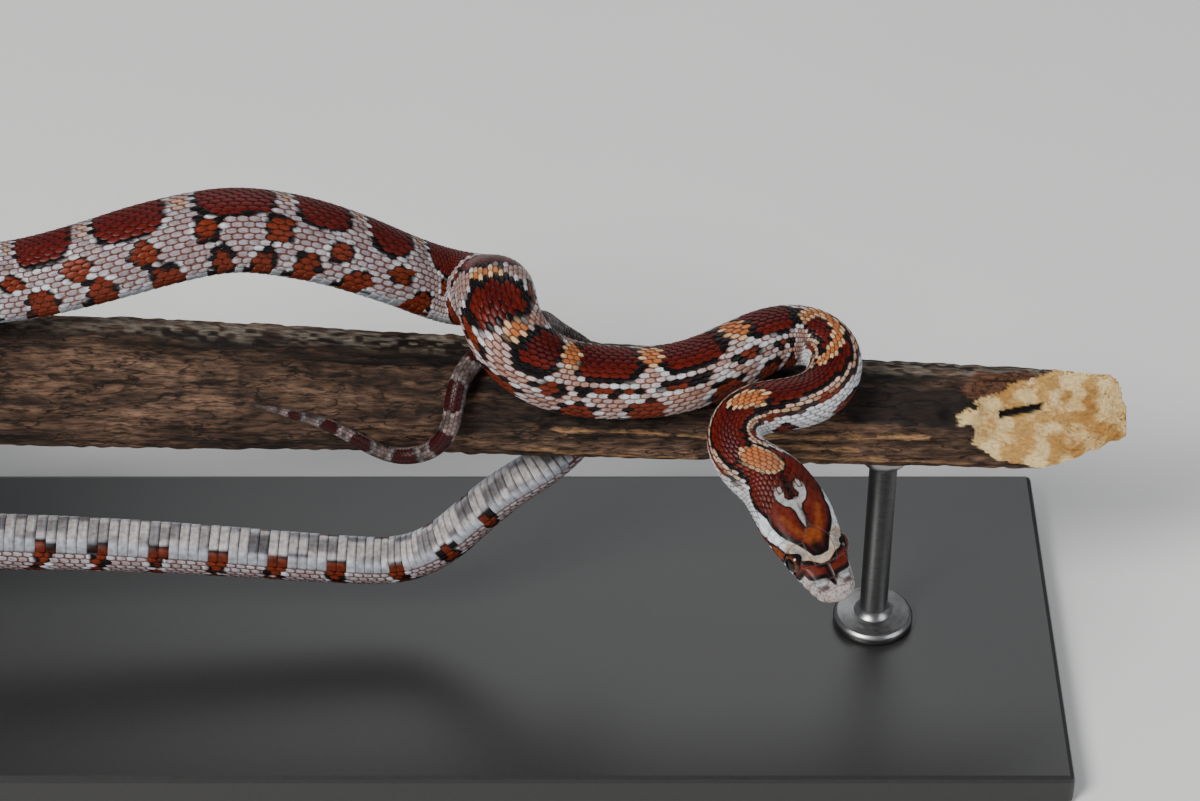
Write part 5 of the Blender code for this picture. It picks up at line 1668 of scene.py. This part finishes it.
class SNAKE_OT_stand(bpy.types.Operator):
    """Satin black base and brushed steel rods"""
    bl_idname = "snake.stand"
    bl_label = "Display stand"

    def execute(self, context):
        lacquer = self.finish("satin_black_lacquer", fine_noise_of=(900.0, (1.0, 1.0, 1.0), 3.0),
                              tones=(0.017, 0.021), gloss=(0.34, 0.38), peel=(0.05, 0.00002))
        steel = self.finish("brushed_steel", fine_noise_of=(500.0, (1.0, 1.0, 16.0), 3.0),
                            tones=(0.25, 0.33), gloss=(0.27, 0.36), peel=(0.15, 0.00002), metallic=1.0)
        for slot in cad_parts["stand_base"].material_slots:
            slot.material = lacquer
        sides = context.scene.snake_sizes.rod_sides
        for side, along in ROD_PLACES.items():
            self.rod("turned_rod_" + side, "stand_rod_" + side, along, sides, steel)
        return {'FINISHED'}

    @staticmethod
    def finish(name, fine_noise_of, tones, gloss, peel, metallic=0.0):
        """Fine even surface: its tone, gloss and relief vary a little with one noise."""
        made, tree, shader = new_material(name)
        scale, stretch, detail = fine_noise_of
        noise = fine_noise(tree, (-700, 0), scale, stretch, detail)
        tone = ramp(tree, (-460, 120), [(0.3, (tones[0],) * 3), (0.7, (tones[1],) * 3)])
        shine = ramp(tree, (-460, -120), [(0.3, (gloss[0],) * 3), (0.7, (gloss[1],) * 3)])
        bump = node(tree, "ShaderNodeBump", (-200, -300), Strength=peel[0], Distance=peel[1])
        tree.links.new(noise.outputs["Fac"], tone.inputs["Fac"])
        tree.links.new(noise.outputs["Fac"], shine.inputs["Fac"])
        tree.links.new(noise.outputs["Fac"], bump.inputs["Height"])
        tree.links.new(tone.outputs["Color"], shader.inputs["Base Color"])
        tree.links.new(shine.outputs["Color"], shader.inputs["Roughness"])
        tree.links.new(bump.outputs["Normal"], shader.inputs["Normal"])
        shader.inputs["Metallic"].default_value = metallic
        return made

    @staticmethod
    def rod(name, solid, along, sides, material):
        """Turned rod with a foot and a collar, as the solid but rounder, its corners eased."""
        bottom = BASE_TOP + GAP
        top = float(branch_axis(along)[2]) - branch_radius(along) + ROD_SEAT - GAP
        height = top - bottom
        foot, foot_height = ROD_FOOT
        collar, collar_height = ROD_COLLAR
        profile = np.array([
            (0.0006, 0.0), (foot, 0.0), (foot, foot_height - 0.0008), (foot - 0.0008, foot_height),
            (ROD_RADIUS + 0.0012, foot_height + 0.0004), (ROD_RADIUS, foot_height + 0.0018),
            (ROD_RADIUS, height - collar_height - 0.0020), (collar, height - collar_height),
            (collar, height), (0.0006, height)])
        rings = [profile[0]]
        for before, corner, after in zip(profile, profile[1:], profile[2:]):
            for end in (before, after):
                rings.append(corner + (end - corner) * min(0.00015 / np.linalg.norm(end - corner), 0.4))
        rings = np.array(rings + [profile[-1]])
        spin = np.arange(sides) * 2 * math.pi / sides
        x = float(branch_axis(along)[0]) + rings[:, :1] * np.cos(spin)
        y = -rings[:, :1] * np.sin(spin)
        z = bottom + rings[:, 1:] * np.ones(sides)
        points = np.stack([x, y, z], axis=-1).reshape(-1, 3)
        middle = float(branch_axis(along)[0])
        points = np.concatenate([points, [(middle, 0.0, bottom), (middle, 0.0, top)]])
        count = len(rings) * sides
        mesh = mesh_from(name, points, tube_faces(len(rings), sides, count, count + 1))
        travelled = np.concatenate([[0.0], np.cumsum(np.linalg.norm(np.diff(rings, axis=0), axis=1))])
        add_map(mesh, "OFBake", tube_map(len(rings), sides, 0.02 + 0.96 * travelled / travelled[-1]))
        piece = new_piece(name, mesh, material)
        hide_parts(solid)


class SNAKE_PT_panel(bpy.types.Panel):
    """Buttons that make the model's looks, piece by piece"""
    bl_idname = "SNAKE_PT_panel"
    bl_label = "Corn snake"
    bl_space_type = 'VIEW_3D'
    bl_region_type = 'UI'
    bl_category = "Snake"

    def draw(self, context):
        for operator in OPERATORS:
            self.layout.operator(operator.bl_idname)
        for group in ("snake_sizes", "snake_colours", "snake_view"):
            values = getattr(context.scene, group)
            box = self.layout.box()
            for name in values.bl_rna.properties.keys():
                if name not in ("rna_type", "name"):
                    box.prop(values, name)


OPERATORS = [SNAKE_OT_stage, SNAKE_OT_skin, SNAKE_OT_back_scales, SNAKE_OT_belly_scutes,
             SNAKE_OT_head_shields, SNAKE_OT_eyes, SNAKE_OT_perch, SNAKE_OT_stand]
GROUPS = [SnakeSizes, SnakeColours, SnakeView]


def register():
    for made in GROUPS + OPERATORS + [SNAKE_PT_panel]:
        bpy.utils.register_class(made)
    bpy.types.Scene.snake_sizes = PointerProperty(type=SnakeSizes)
    bpy.types.Scene.snake_colours = PointerProperty(type=SnakeColours)
    bpy.types.Scene.snake_view = PointerProperty(type=SnakeView)


def unregister():
    del bpy.types.Scene.snake_view
    del bpy.types.Scene.snake_colours
    del bpy.types.Scene.snake_sizes
    for made in reversed(GROUPS + OPERATORS + [SNAKE_PT_panel]):
        bpy.utils.unregister_class(made)


def main():
    register()
    bpy.ops.snake.stage()
    bpy.ops.snake.skin()
    bpy.ops.snake.back_scales()
    bpy.ops.snake.belly_scutes()
    bpy.ops.snake.head_shields()
    bpy.ops.snake.eyes()
    bpy.ops.snake.perch()
    bpy.ops.snake.stand()


if __name__ == "__main__":
    main()
